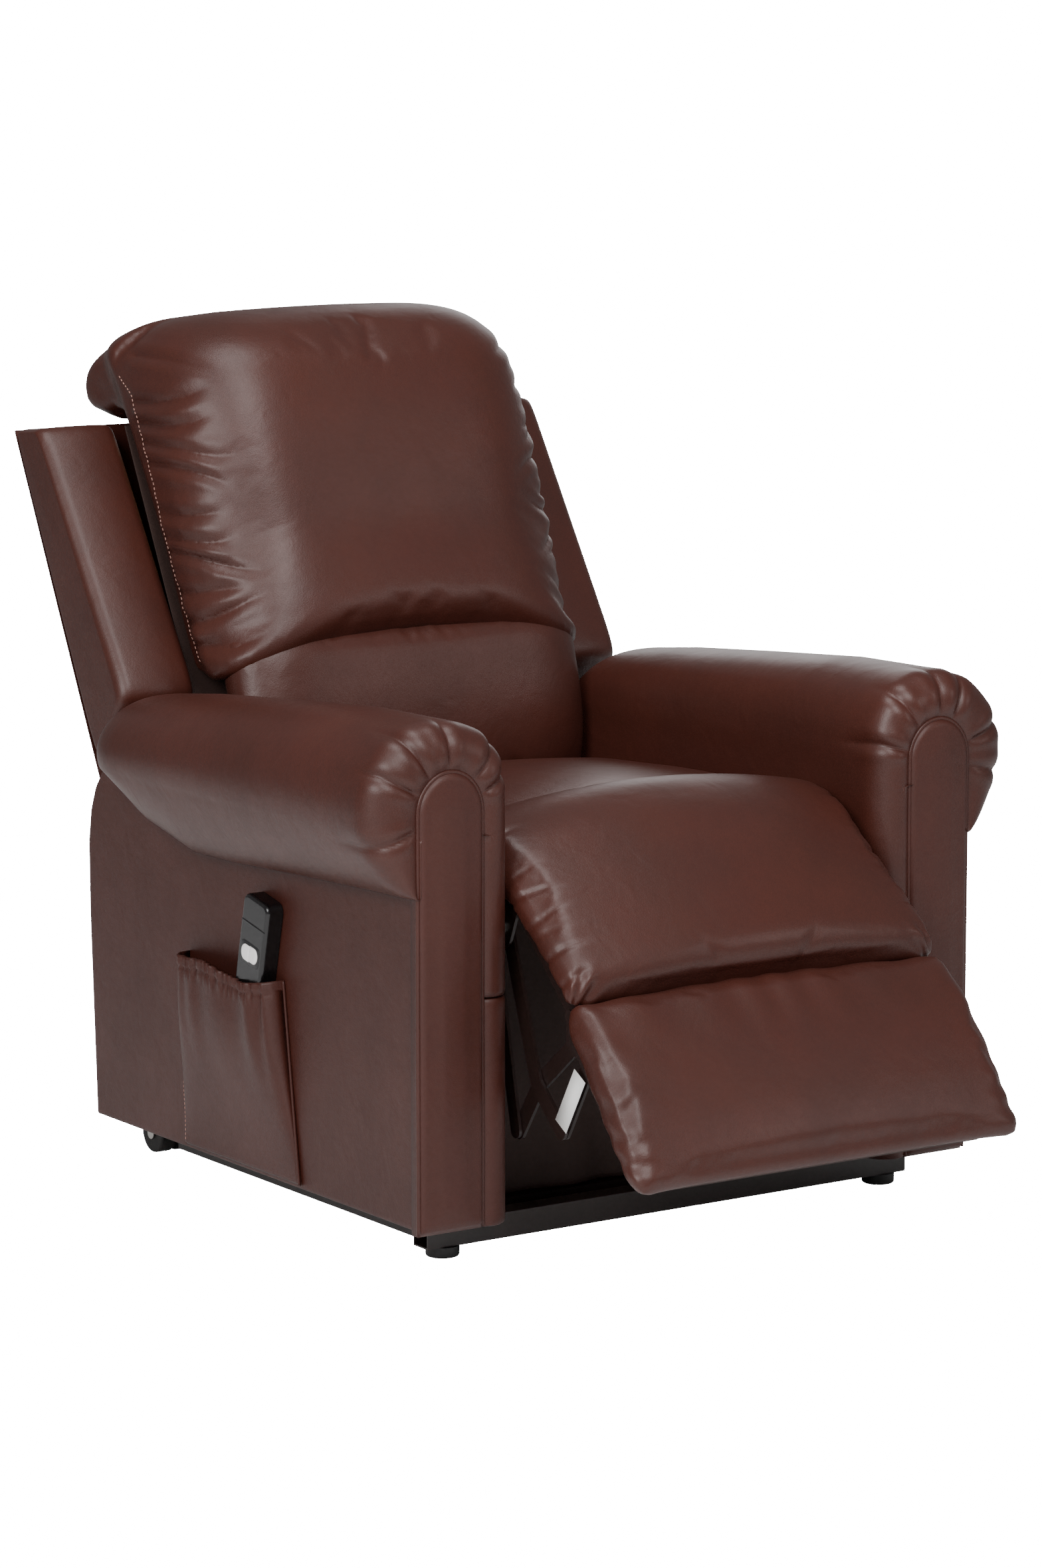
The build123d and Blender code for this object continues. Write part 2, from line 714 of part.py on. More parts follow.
foot_pad_depth = 16.0
foot_pad_start = 16.0     # below the calf pad's end, clear of the foot pivots
foot_board_depth = 30.0
flange_end = 205.0
with BuildPart() as foot_pad:
    add(block(pad_seam, foot_down, foot_out, foot_pad_start, foot_pad_length, -foot_pad_depth, 0, foot_half))
save(foot_pad, "foot_pad")

with BuildPart() as foot_board:
    run_end = foot_pad_length - 8.0
    add(block(pad_seam, foot_down, foot_out, 18.0, run_end, -foot_board_depth, -foot_pad_depth, board_half))
save(foot_board, "foot_board")

with BuildPart() as foot_brackets:
    for side in sides:
        x_in = side * mech_x
        x_out = side * (mech_x + plate)
        flange_tip = along(pad_seam, foot_down, flange_end, foot_out, -foot_board_depth - 1.5)
        for start, end in ((foot_pivot, cross_top), (cross_top, stay_top), (foot_pivot, stay_top)):
            add(bar(start, end, rivet_radius + 3.5, x_in, x_out))
        add(bar(stay_top, flange_tip, rivet_radius + 5.0, x_in, x_out))
        add(disc(foot_pivot, rivet_radius + running_fit, x_in, x_out), mode=Mode.SUBTRACT)
        flange = [
            along(pad_seam, foot_down, 76.0, foot_out, -foot_board_depth),
            along(pad_seam, foot_down, flange_end, foot_out, -foot_board_depth),
            along(pad_seam, foot_down, flange_end, foot_out, -foot_board_depth - 3.0),
            along(pad_seam, foot_down, 76.0, foot_out, -foot_board_depth - 3.0),
        ]
        add(slab(flange, side * (board_half - 30.0), x_out))
        for pivot in (cross_top, stay_top):
            add(disc(pivot, stud_radius, x_in, side * (layer_b - 0.3)))
            add(disc(pivot, stud_radius + 2.5, side * (layer_b - 0.3), side * (layer_b - 2.5)))
save(foot_brackets, "foot_brackets")

with BuildPart() as long_links:
    for side in sides:
        x_in = side * layer_a
        x_out = side * (layer_a + plate)
        add(bar(long_pivot, middle_pivot, link_radius, x_in, x_out))
        add(bar(middle_pivot, stay_pivot, link_radius, x_in, x_out))
        add(disc(long_pivot, rivet_radius + running_fit, x_in, x_out), mode=Mode.SUBTRACT)
        for pivot in (middle_pivot, stay_pivot):
            add(disc(pivot, rivet_radius, x_in, side * (layer_b - 0.3)))
            add(disc(pivot, rivet_head, side * (layer_b - 0.3), side * (layer_b - 2.5)))
save(long_links, "long_links")

open_pivot_fit = 3.0
with BuildPart() as cross_links:
    for side in sides:
        x_in = side * layer_b
        x_out = side * (layer_b + plate)
        add(bar(rear_joint, middle_pivot, link_radius, x_in, x_out))
        add(bar(middle_pivot, cross_top, link_radius, x_in, x_out))
        add(disc(middle_pivot, rivet_radius + running_fit, x_in, x_out), mode=Mode.SUBTRACT)
        add(disc(cross_top, stud_radius + 0.6, x_in, x_out), mode=Mode.SUBTRACT)
        add(disc(rear_joint, stud_radius + open_pivot_fit, x_in, x_out), mode=Mode.SUBTRACT)
save(cross_links, "cross_links")

with BuildPart() as stay_links:
    for side in sides:
        x_in = side * layer_b
        x_out = side * (layer_b + plate)
        add(bar(stay_pivot, stay_top, link_radius, x_in, x_out))
        add(disc(stay_pivot, rivet_radius + running_fit, x_in, x_out), mode=Mode.SUBTRACT)
        add(disc(stay_top, stud_radius + open_pivot_fit, x_in, x_out), mode=Mode.SUBTRACT)
save(stay_links, "stay_links")

with BuildPart() as rear_links:
    for side in sides:
        x_in = side * layer_a
        x_out = side * (layer_a + plate)
        add(bar(rear_pivot, rear_joint, link_radius - 1.5, x_in, x_out))
        add(disc(rear_pivot, rivet_radius + running_fit, x_in, x_out), mode=Mode.SUBTRACT)
        add(disc(rear_joint, stud_radius, x_in, side * (layer_b - 0.3)))
        add(disc(rear_joint, stud_radius + 2.5, side * (layer_b - 0.3), side * (layer_b - 2.5)))
save(rear_links, "rear_links")

# ================================================================ backrest
back_low = (arm_length + 118.0, 479.0)
back_high = (arm_length + 317.0, back_top - 136.0)
wing_low = (arm_length + 44.0, 578.0)
wing_high = (arm_length + 246.0, back_top - 127.0)
back_up = unit(back_low, back_high)
back_forward = (-back_up[1], back_up[0])
back_length = math.dist(back_low, back_high)
cover_board = 6.0
cover_half = half_board - pad_gap   # its lower edge passes between the side panels as the back reclines
stile_rear = 60.0
stile_front = 90.0
stile_low = -60.0
stile_high = back_length - 29.0
wing_outer = half_body - 11.0
cushion_face = stile_front + 2.0

with BuildPart() as back_frame:
    for side in sides:
        outline = [
            along(back_low, back_up, stile_low, back_forward, stile_rear),
            along(back_low, back_up, stile_high, back_forward, stile_rear),
            along(back_low, back_up, stile_high, back_forward, stile_front),
            along(back_low, back_up, stile_low, back_forward, stile_front),
        ]
        add(slab(outline, side * (layer_a - post_size), side * layer_a))
    half_rail = layer_a - post_size - joint_gap
    for start in (stile_low, stile_high - 50.0):
        add(block(back_low, back_up, back_forward, start, start + 50.0, stile_rear, stile_front, half_rail))
save(back_frame, "back_frame")

bracket_foot = along(back_low, back_up, stile_low + 25.0, back_forward, (stile_rear + stile_front) / 2)
with BuildPart() as back_brackets:
    for side in sides:
        x_in = side * layer_a
        x_out = side * (layer_a + plate)
        add(bar(back_pivot, bracket_foot, rivet_head + 6.0, x_in, x_out))
        add(disc(back_pivot, rivet_radius + running_fit, x_in, x_out), mode=Mode.SUBTRACT)
save(back_brackets, "back_brackets")

with BuildPart() as back_cover:
    add(block(back_low, back_up, back_forward, -40.0, back_length, 0, cover_board, cover_half))
save(back_cover, "back_cover")

for hand, side in hands:
    with BuildPart() as back_wing:
        outline = [
            wing_low,
            wing_high,
            along(back_high, back_up, 0, back_forward, cover_board),
            along(back_low, back_up, 0, back_forward, cover_board),
        ]
        add(slab(outline, side * (half_seat + 1.0), side * wing_outer))
    save(back_wing, f"back_wing_{hand}")

seam_run = 100.0
with BuildPart() as lumbar_pad:
    outline = [
        (arm_length - 72.0, 430.0),
        (arm_length - 74.0, 500.0),
        (arm_length - 56.0, 610.0),
        along(back_low, back_up, seam_run, back_forward, cushion_face),
        along(back_low, back_up, stile_low + 10.0, back_forward, cushion_face),
    ]
    add(slab(outline, -(layer_a - 5.0), layer_a - 5.0))
save(lumbar_pad, "lumbar_pad")

with BuildPart() as back_cushion:
    with BuildSketch(Plane.YZ.offset(-(half_seat - pad_gap))):
        with BuildLine():
            front_low = at((arm_length - 53.0, 617.0))
            front_middle = at((arm_length + 1.0, 772.0))
            front_high = at((arm_length + 62.0, back_top - 80.0))
            head_front = at((arm_length + 98.0, back_top - 24.0))
            crown_point = at((arm_length + 160.0, back_top))
            head_rear = at((arm_length + 275.0, back_top - 18.0))
            rear_point = at((back_reach, back_top - 66.0))
            rear_low = at(along(back_low, back_up, back_length + 30.0, back_forward, 0))
            board_high = at(along(back_low, back_up, back_length + 4.0, back_forward, cushion_face))
            board_low = at(along(back_low, back_up, seam_run + 4.0, back_forward, cushion_face))
            ThreePointArc(front_low, front_middle, front_high)
            ThreePointArc(front_high, head_front, crown_point)
            ThreePointArc(crown_point, head_rear, rear_point)
            Polyline([rear_point, rear_low, board_high, board_low, front_low])
        make_face()
    extrude(amount=seat_width - 2 * pad_gap)
save(back_cushion, "back_cushion")

# ================================================================ handset and its pocket
handset_depth = 22.0
handset_gap = 2.0
pocket_cloth = 2.5
pocket_depth = handset_gap + handset_depth + 3.5 + pocket_cloth
pocket_top = 293.0
pocket_low = 50.0
pocket_rear = 527.0
pocket_front_top = 291.0
pocket_front_low = 255.0
with BuildPart() as pocket:
    outer = [
        (pocket_front_low, pocket_low),
        (pocket_rear - 5.0, pocket_low),
        (pocket_rear, pocket_top),
        (pocket_front_top, pocket_top),
    ]
    inner = [
        (pocket_front_low + 8.0, pocket_low + pocket_cloth),
        (pocket_rear - 8.0, pocket_low + pocket_cloth),
        (pocket_rear - pocket_cloth, pocket_top + 1.0),
        (pocket_front_top + pocket_cloth, pocket_top + 1.0),
    ]
    add(slab(outer, -half_body, -half_body - pocket_depth))
    add(slab(inner, -half_body, -half_body - pocket_depth + pocket_cloth), mode=Mode.SUBTRACT)
save(pocket, "pocket")

handset_top = (314.0, 388.0)
handset_low = (347.0, 238.0)
handset_width = 56.0
handset_x = -half_body - handset_gap
button_centre = (326.0, 319.0)
button_width = 15.0
button_height = 20.0
button_proud = 1.6
button_recess = 3.2
button_gap = 0.4
handset_up = unit(handset_low, handset_top)
handset_length = math.dist(handset_low, handset_top)
handset_turn = Plane(
    origin=(handset_x, *at(handset_low)), x_dir=(0, handset_up[1], -handset_up[0]), z_dir=(-1, 0, 0)
)
button_run = (button_centre[0] - handset_low[0]) * handset_up[0] + (button_centre[1] - handset_low[1]) * handset_up[1]
# In this plane +X runs rearwards and +Y runs down the handset, so places up it are negative.
button_places = ((-button_width / 2 - 1.0), (button_width / 2 + 1.0))

with BuildPart() as handset:
    with BuildSketch(handset_turn):
        with Locations((0, -handset_length / 2)):
            RectangleRounded(handset_width, handset_length, 12.0)
    extrude(amount=handset_depth)
    fillet(handset.faces().filter_by(Axis.X).sort_by(Axis.X)[0].edges(), 5.0)
    with BuildSketch(handset_turn.offset(handset_depth)):
        with Locations(*[(place, -button_run) for place in button_places]):
            Rectangle(button_width + 2 * button_gap, button_height + 2 * button_gap)
    extrude(amount=-button_recess, mode=Mode.SUBTRACT)
save(handset, "handset")

button_thickness = button_proud + button_recess - 1.4
for name, place in zip(("button_up", "button_down"), button_places):
    with BuildPart() as button:
        with BuildSketch(handset_turn.offset(handset_depth + button_proud)):
            with Locations((place, -button_run)):
                Rectangle(button_width, button_height)
        extrude(amount=-button_thickness)
        outer_side = 1 if place > 0 else -1
        corner_edges = button.edges().filter_by(Axis.X)
        if outer_side > 0:
            round_edges = corner_edges.sort_by(Axis.Y)[-2:]
        else:
            round_edges = corner_edges.sort_by(Axis.Y)[:2]
        fillet(round_edges, button_width / 2)
    save(button, name)
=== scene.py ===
import math

import bmesh
import bpy
import numpy as np
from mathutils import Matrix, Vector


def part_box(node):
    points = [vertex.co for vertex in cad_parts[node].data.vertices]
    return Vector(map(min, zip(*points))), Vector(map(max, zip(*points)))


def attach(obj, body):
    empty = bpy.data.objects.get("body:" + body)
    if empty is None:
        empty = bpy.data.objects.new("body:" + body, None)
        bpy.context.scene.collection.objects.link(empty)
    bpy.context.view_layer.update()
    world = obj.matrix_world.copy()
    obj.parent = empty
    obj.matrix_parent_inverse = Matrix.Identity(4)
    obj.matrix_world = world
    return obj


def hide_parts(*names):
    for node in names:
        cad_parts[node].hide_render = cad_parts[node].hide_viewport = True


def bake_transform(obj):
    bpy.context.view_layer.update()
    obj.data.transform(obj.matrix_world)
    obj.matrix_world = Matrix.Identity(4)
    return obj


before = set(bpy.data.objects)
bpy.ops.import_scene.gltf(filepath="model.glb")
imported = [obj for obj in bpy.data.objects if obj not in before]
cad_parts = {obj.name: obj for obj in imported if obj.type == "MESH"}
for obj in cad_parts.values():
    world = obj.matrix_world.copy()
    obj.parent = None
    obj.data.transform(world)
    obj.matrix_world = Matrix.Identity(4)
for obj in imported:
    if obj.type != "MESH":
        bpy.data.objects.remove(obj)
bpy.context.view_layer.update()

front = -0.353  # y of the arms' front plane; side-view points below are (y, z) measured from it

# ---- Brown faux leather: a polyurethane film on a knitted backing, satin, with a fine pebble grain.
# It is one hide colour all over; the film wears lighter and glossier in broad soft clouds.


def linear(colour):
    """The linear RGBA of an sRGB hex colour such as "4a2b26"."""
    parts = [int(colour[i : i + 2], 16) / 255 for i in (0, 2, 4)]
    return [c / 12.92 if c <= 0.04045 else ((c + 0.055) / 1.055) ** 2.4 for c in parts] + [1.0]


def add(tree, kind, settings=(), links=()):
    """Adds a shader node, sets its properties and inputs, and links inputs from other nodes' outputs."""
    made = tree.nodes.new("ShaderNode" + kind)
    for key, value in dict(settings).items():
        if isinstance(key, str) and key[0].islower():
            setattr(made, key, value)
        else:
            made.inputs[key].default_value = value
    for key, source in dict(links).items():
        tree.links.new(source, made.inputs[key])
    return made


def new_look(name):
    """An empty material and its node tree."""
    look = bpy.data.materials.new(name)
    look.use_nodes = True
    look.node_tree.nodes.clear()
    return look, look.node_tree


def leather(name, dark, light, rough, grain_strength):
    """Grained film: cloudy colour, roughness that follows the clouds, pebble grain and slack creases."""
    look, tree = new_look(name)
    place = add(tree, "TexCoord").outputs["Object"]
    cloud = add(tree, "TexNoise", {"Scale": 7.0, "Detail": 5.0, "Roughness": 0.62}, {"Vector": place})
    fleck = add(tree, "TexNoise", {"Scale": 160.0, "Detail": 3.0}, {"Vector": place})
    both = add(
        tree, "Math", {"operation": "MULTIPLY_ADD", 1: 0.25},
        {0: fleck.outputs["Fac"], 2: cloud.outputs["Fac"]}
    )
    spread = add(tree, "MapRange", {"From Min": 0.35, "From Max": 0.95}, {"Value": both.outputs[0]})
    tint = add(tree, "Mix", {"data_type": "RGBA", 6: linear(dark), 7: linear(light)}, {0: spread.outputs[0]})
    gloss = add(
        tree, "MapRange", {"To Min": rough + 0.05, "To Max": rough - 0.04}, {"Value": spread.outputs[0]}
    )
    pebble = add(
        tree, "TexVoronoi", {"feature": "SMOOTH_F1", "Scale": 620.0, "Smoothness": 0.6}, {"Vector": place}
    )
    pore = add(tree, "TexNoise", {"Scale": 260.0, "Detail": 4.0}, {"Vector": place})
    slack = add(tree, "TexNoise", {"Scale": 26.0, "Detail": 2.5, "Distortion": 0.7}, {"Vector": place})
    soft = add(tree, "Bump", {"Strength": 0.22, "Distance": 0.0035}, {"Height": slack.outputs["Fac"]})
    pored = add(
        tree, "Bump", {"Strength": grain_strength, "Distance": 0.0006},
        {"Height": pore.outputs["Fac"], "Normal": soft.outputs[0]}
    )
    grain = add(
        tree, "Bump", {"Strength": grain_strength, "Distance": 0.0005},
        {"Height": pebble.outputs["Distance"], "Normal": pored.outputs[0]}
    )
    film = add(
        tree, "BsdfPrincipled",
        {"Coat Weight": 0.04, "Coat Roughness": 0.30, "Specular IOR Level": 0.36},
        {"Base Color": tint.outputs[2], "Roughness": gloss.outputs[0], "Normal": grain.outputs[0]},
    )
    add(tree, "OutputMaterial", {}, {"Surface": film.outputs[0]})
    return look


hide = leather("brown_leather", "34160f", "411e16", 0.42, 0.16)
panel_hide = leather("brown_leather_panels", "34140c", "3f1a11", 0.50, 0.20)


# ---- Plain finishes: painted and plated steel, plastics, rubber, timber, thread, paper and lining.
# Each is one tint with a faint procedural mottle, so that no surface is perfectly even.


def finish(name, dark, light, rough, metal=0.0, scale=60.0, bump=0.0, stretch=(1, 1, 1)):
    """A mottled finish; stretch draws the mottle out along an axis, as for timber grain or brushing."""
    look, tree = new_look(name)
    place = add(tree, "TexCoord").outputs["Object"]
    drawn = add(tree, "Mapping", {"Scale": stretch}, {"Vector": place})
    mottle = add(
        tree, "TexNoise", {"Scale": scale, "Detail": 5.0, "Roughness": 0.6}, {"Vector": drawn.outputs[0]}
    )
    tint = add(
        tree, "Mix", {"data_type": "RGBA", 6: linear(dark), 7: linear(light)}, {0: mottle.outputs["Fac"]}
    )
    worn = add(
        tree, "MapRange", {"To Min": rough - 0.06, "To Max": rough + 0.06}, {"Value": mottle.outputs["Fac"]}
    )
    relief = add(tree, "Bump", {"Strength": bump, "Distance": 0.0008}, {"Height": mottle.outputs["Fac"]})
    coat = add(
        tree, "BsdfPrincipled", {"Metallic": metal},
        {"Base Color": tint.outputs[2], "Roughness": worn.outputs[0], "Normal": relief.outputs[0]},
    )
    add(tree, "OutputMaterial", {}, {"Surface": coat.outputs[0]})
    return look


paint = finish("frame_paint", "140c0a", "241613", 0.38, bump=0.15, scale=300.0)  # powder-coated mild steel
# Zinc-plated steel: bright and slightly drawn out, as a bar is.
steel = finish("bright_steel", "8d8b88", "b9b6b1", 0.30, metal=1.0, scale=90.0, stretch=(1, 1, 8))
# Poplar and plywood: pale brown with a fine straight grain, sawn and unpolished.
timber = finish("timber", "8b6238", "b48a58", 0.62, scale=22.0, bump=0.3, stretch=(9, 1, 1))
rubber = finish("wheel_rubber", "141312", "232120", 0.66, scale=400.0, bump=0.25)  # moulded rubber tyre
plastic = finish("black_plastic", "0e0e0f", "1b1a1b", 0.42, scale=500.0, bump=0.12)  # moulded ABS
handset_shell = finish("handset_plastic", "0b0a0b", "161314", 0.22, scale=260.0, bump=0.05)  # polished ABS
white_plastic = finish("button_plastic", "e6e1df", "f3efec", 0.34, scale=300.0)  # off-white ABS keys
thread = finish("thread", "9c7469", "b98d80", 0.62, scale=900.0, bump=0.3)  # pinkish-tan polyester thread
paper = finish("label_paper", "e4e2df", "f0efec", 0.55, scale=300.0)  # blank white label
lining = finish("lining", "21100b", "321b13", 0.74, scale=420.0, bump=0.4)  # woven polyester lining

node_looks = {
    paint: "base_cross_rails base_front_rail base_motor_rail base_side_rails lift_towers lower_lift_links "
    "upper_lift_links lift_brackets cross_links long_links stay_links rear_links calf_frame foot_brackets "
    "mechanism_plates back_brackets drive_tube wheel_plates",
    steel: "mechanism_pins seat_springs motor_rod wheel_axles",
    timber: "arm_frames back_frame seat_rails",
    lining: "calf_board foot_board",
    rubber: "wheel_left_inner wheel_left_outer wheel_right_inner wheel_right_outer",
    plastic: "front_feet motor_case motor_tube power_inlet power_pack",
    handset_shell: "handset",
    white_plastic: "button_up button_down",
}
for look, names in node_looks.items():
    for name in names.split():
        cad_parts[name].data.materials.clear()
        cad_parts[name].data.materials.append(look)
for name, width in (
    ("handset", 0.0035), ("front_feet", 0.002), ("power_pack", 0.003), ("motor_case", 0.002),
    ("wheel_left_inner", 0.0035), ("wheel_left_outer", 0.0035), ("wheel_right_inner", 0.0035),
    ("wheel_right_outer", 0.0035),
    ("base_front_rail", 0.0015), ("base_side_rails", 0.0015), ("stay_links", 0.0006), ("cross_links", 0.0006),
):
    soft_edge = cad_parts[name].modifiers.new("edge", "BEVEL")
    soft_edge.width = width
    soft_edge.segments = 3
    soft_edge.limit_method = "ANGLE"


# ---- Side panels: faux leather pulled over a thin pad on a 12 mm board, stapled under the edges.
# Each closes the outer side of an arm from the floor gap to the arm roll.


def make_piece(name, points, faces, look):
    """A closed smooth mesh from arrays of points and quads. Points that coincide are joined, and the faces
    are turned outwards."""
    mesh = bpy.data.meshes.new(name)
    mesh.from_pydata(points.tolist(), [], faces.tolist())
    work = bmesh.new()
    work.from_mesh(mesh)
    bmesh.ops.remove_doubles(work, verts=work.verts, dist=1e-5)
    bmesh.ops.dissolve_degenerate(work, edges=work.edges, dist=1e-5)
    bmesh.ops.recalc_face_normals(work, faces=work.faces)
    work.to_mesh(mesh)
    work.free()
    mesh.polygons.foreach_set("use_smooth", np.ones(len(mesh.polygons), bool))
    mesh.materials.append(look)
    piece = bpy.data.objects.new(name, mesh)
    bpy.context.scene.collection.objects.link(piece)
    return piece


def between(face, back):
    """Points and quads of the closed solid between two grids of points of one shape, joined at the rims."""
    rows, columns = face.shape[:2]
    index = np.arange(rows * columns).reshape(rows, columns)
    flat = np.stack([index[:-1, :-1], index[1:, :-1], index[1:, 1:], index[:-1, 1:]], -1).reshape(-1, 4)
    rim = np.concatenate([index[0, :-1], index[:-1, -1], index[-1, :0:-1], index[:0:-1, 0]])
    ahead = np.roll(rim, -1)
    count = rows * columns
    wall = np.stack([rim, ahead, ahead + count, rim + count], -1)
    quads = np.concatenate([flat, flat[:, ::-1] + count, wall])
    return np.concatenate([face.reshape(-1, 3), back.reshape(-1, 3)]), quads


def eased(distance, radius):
    """How far an edge rounded to a radius has fallen back, at a distance in from that edge."""
    return radius * (1 - np.sqrt(1 - (1 - np.clip(distance / radius, 0, 1)) ** 2))


across = np.sin(np.linspace(-np.pi / 2, np.pi / 2, 61)) / 2 + 0.5  # 0 to 1, closer together near both ends
panel_foot = 0.045  # height of the lower edge of the side panels and arm fronts
panel_front = 0.004
for hand, side in (("left", 1), ("right", -1)):
    z = (panel_foot + 0.4605 * across)[:, None] * np.ones(61)
    heights = [panel_foot, 0.30, 0.39, 0.43, 0.46, 0.485, 0.506]
    rear = np.interp(z, heights, [0.743, 0.755, 0.756, 0.750, 0.738, 0.718, 0.690])
    y = panel_front + (rear - panel_front) * across[None, :]
    inset = np.minimum(np.minimum(y - panel_front, rear - y), np.minimum(z - panel_foot, 0.52 - z))
    swell = 0.0028 * np.sin(np.pi * across)[:, None] ** 0.5 * np.sin(np.pi * across)[None, :] ** 0.5
    x = 0.3835 - eased(inset, 0.005) + swell
    face = np.stack([side * x, y + front, z], -1)
    back = np.stack([np.full_like(x, side * 0.3735), y + front, z], -1)
    panel = make_piece(f"side_cover_{hand}", *between(face, back), panel_hide)
    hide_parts(f"side_panel_{hand}")
    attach(panel, "seat_unit")


# ---- Arm fronts: a narrow arched panel on each arm, thinly padded, with a leather piping round its edge.
# The arm's leather is gathered on to the piping round the arch.


def smooth_path(points, count, closed=False):
    """Evenly spaced points on a Catmull-Rom curve through the given ones."""
    p = np.asarray(points, float)
    q = np.concatenate([p[-1:], p, p[:2]] if closed else [2 * p[:1] - p[1:2], p, 2 * p[-1:] - p[-2:-1]])
    t = np.linspace(0, 1, 24, endpoint=False)[None, :, None]
    a, b, c, d = (q[i : len(q) - 3 + i, None] for i in range(4))
    dense = 0.5 * (2 * b + (c - a) * t + (2 * a - 5 * b + 4 * c - d) * t**2 + (3 * b - a - 3 * c + d) * t**3)
    dense = np.concatenate([dense.reshape(-1, p.shape[1]), p[:1] if closed else p[-1:]])
    run = np.concatenate([[0], np.cumsum(np.linalg.norm(np.diff(dense, axis=0), axis=1))])
    target = np.linspace(0, run[-1], count, endpoint=not closed)
    return np.stack([np.interp(target, run, column) for column in dense.T], -1)


def lofted(rings):
    """Points and quads of a skin over a stack of closed rings, closed at both ends on the middle."""
    first, last = (rings[end].mean(1, keepdims=True) + 0 * rings[end] for end in (slice(1), slice(-1, None)))
    rings = np.concatenate([first, rings, last])
    index = np.arange(rings.shape[0] * rings.shape[1]).reshape(rings.shape[:2])
    ahead = np.roll(index, -1, axis=1)
    quads = np.stack([index[:-1], index[1:], ahead[1:], ahead[:-1]], -1).reshape(-1, 4)
    return rings.reshape(-1, 3), quads


def cord_along(name, path, radius, look, sides=10):
    """A round cord of a radius along a path of points."""
    tangent = np.gradient(path, axis=0)
    tangent /= np.linalg.norm(tangent, axis=1, keepdims=True)
    guide = np.array([0.0, 1.0, 0.0]) if abs(tangent[:, 1]).max() < 0.9 else np.array([1.0, 0.0, 0.0])
    first = np.cross(tangent, guide)
    first /= np.linalg.norm(first, axis=1, keepdims=True)
    second = np.cross(tangent, first)
    turn = np.linspace(0, 2 * np.pi, sides, endpoint=False)[None, :, None]
    rings = path[:, None] + radius * (np.cos(turn) * first[:, None] + np.sin(turn) * second[:, None])
    return make_piece(name, *lofted(rings), look)


arch = np.array([0.3505, 0.530])  # centre of the arch of an arm front, as (x, z)
arch_half, arch_rise = 0.0435, 0.048
for hand, side in (("left", 1), ("right", -1)):
    rounded = arch[1] + arch_rise * np.sin(np.linspace(0, np.pi / 2, 26))
    z = np.concatenate([np.linspace(panel_foot, 0.528, 70), rounded])[:, None]
    half = arch_half * np.sqrt(1 - np.clip((z - arch[1]) / arch_rise, 0, 1) ** 2)
    u = np.sin(np.linspace(-np.pi / 2, np.pi / 2, 41))[None, :]
    x = arch[0] + half * u
    from_centre = np.hypot(x - arch[0], np.clip(z - arch[1], 0, 1) * arch_half / arch_rise)
    inset = np.minimum(arch_half - from_centre, z - panel_foot)
    y = -0.0165 + eased(inset, 0.008) - 0.004 * (1 - u**2) * np.clip(inset / 0.03, 0, 1)
    z = z + 0 * x
    face = np.stack([side * x, y + front, z], -1)
    back = np.stack([side * x, np.full_like(x, 0.004 + front), z], -1)
    panel = make_piece(f"arm_face_{hand}", *between(face, back), panel_hide)
    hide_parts(f"arm_front_{hand}")
    turn = np.linspace(0, np.pi, 40)
    over = np.stack([arch[0] + arch_half * np.cos(turn), arch[1] + arch_rise * np.sin(turn)], -1)
    rise = np.linspace(0.048, 0.526, 60)
    up_side = np.stack([np.full(60, arch[0] + arch_half), rise], -1)
    down_side = np.stack([np.full(60, arch[0] - arch_half), rise[::-1]], -1)
    edge = np.concatenate([up_side, over, down_side])
    path = np.stack([side * edge[:, 0], np.full(len(edge), -0.0105 + front), edge[:, 1]], -1)
    piping = cord_along(f"arm_piping_{hand}", path, 0.0028, hide)
    for piece in (panel, piping):
        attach(piece, "seat_unit")


# ---- Arm rolls: one hide over a foam scroll, from the seam half way down the inner arm, over the top to a
# free lip outside. At the front it is turned in and pleated at the arch; it sinks towards the rear.


def press(piece, field):
    """Moves every point of a mesh along its normal by field(points), in metres."""
    count = len(piece.data.vertices)
    place, normal = np.empty(count * 3, np.float32), np.empty(count * 3, np.float32)
    piece.data.vertices.foreach_get("co", place)
    piece.data.vertices.foreach_get("normal", normal)
    place, normal = place.reshape(-1, 3), normal.reshape(-1, 3)
    place = place + normal * field(place.astype(float))[:, None]
    piece.data.vertices.foreach_set("co", place.astype(np.float32).ravel())
    piece.data.update()


def ramp(value, low, high):
    """0 below low, 1 above high and smooth between them."""
    t = np.clip((value - low) / (high - low), 0, 1)
    return t * t * (3 - 2 * t)


belt = 0.506  # height at which the roll meets the top of the side panel
lip_x = 0.3857  # beyond this the roll is its free outer lip
scroll = smooth_path(
    [(0.3858, 0.450), (0.390, 0.439), (0.404, 0.437), (0.424, 0.451), (0.444, 0.480), (0.457, 0.515),
     (0.458, 0.550), (0.446, 0.584), (0.422, 0.612), (0.389, 0.629), (0.353, 0.633), (0.316, 0.627),
     (0.286, 0.610), (0.269, 0.582), (0.263, 0.545), (0.2625, 0.500)], 170)
skin = [scroll]
for start, end, count in (
    ((0.2625, 0.500), (0.2625, 0.314), 40), ((0.2625, 0.314), (0.268, 0.314), 4),
    ((0.268, 0.314), (0.268, 0.500), 24), ((0.268, 0.500), (0.3858, 0.506), 20),
    ((0.3858, 0.506), (0.3858, 0.450), 10),
):
    skin.append(np.linspace(start, end, count, endpoint=False)[1:])
skin = np.concatenate(skin)
off = skin - arch
reach = np.linalg.norm(off, axis=1)
over = off[:, 1] > 0
rim = np.stack([
    arch[0] + arch_half * np.where(over, off[:, 0] / reach, np.sign(off[:, 0])),
    np.where(over, arch[1] + arch_rise * off[:, 1] / reach, skin[:, 1]),
], -1)
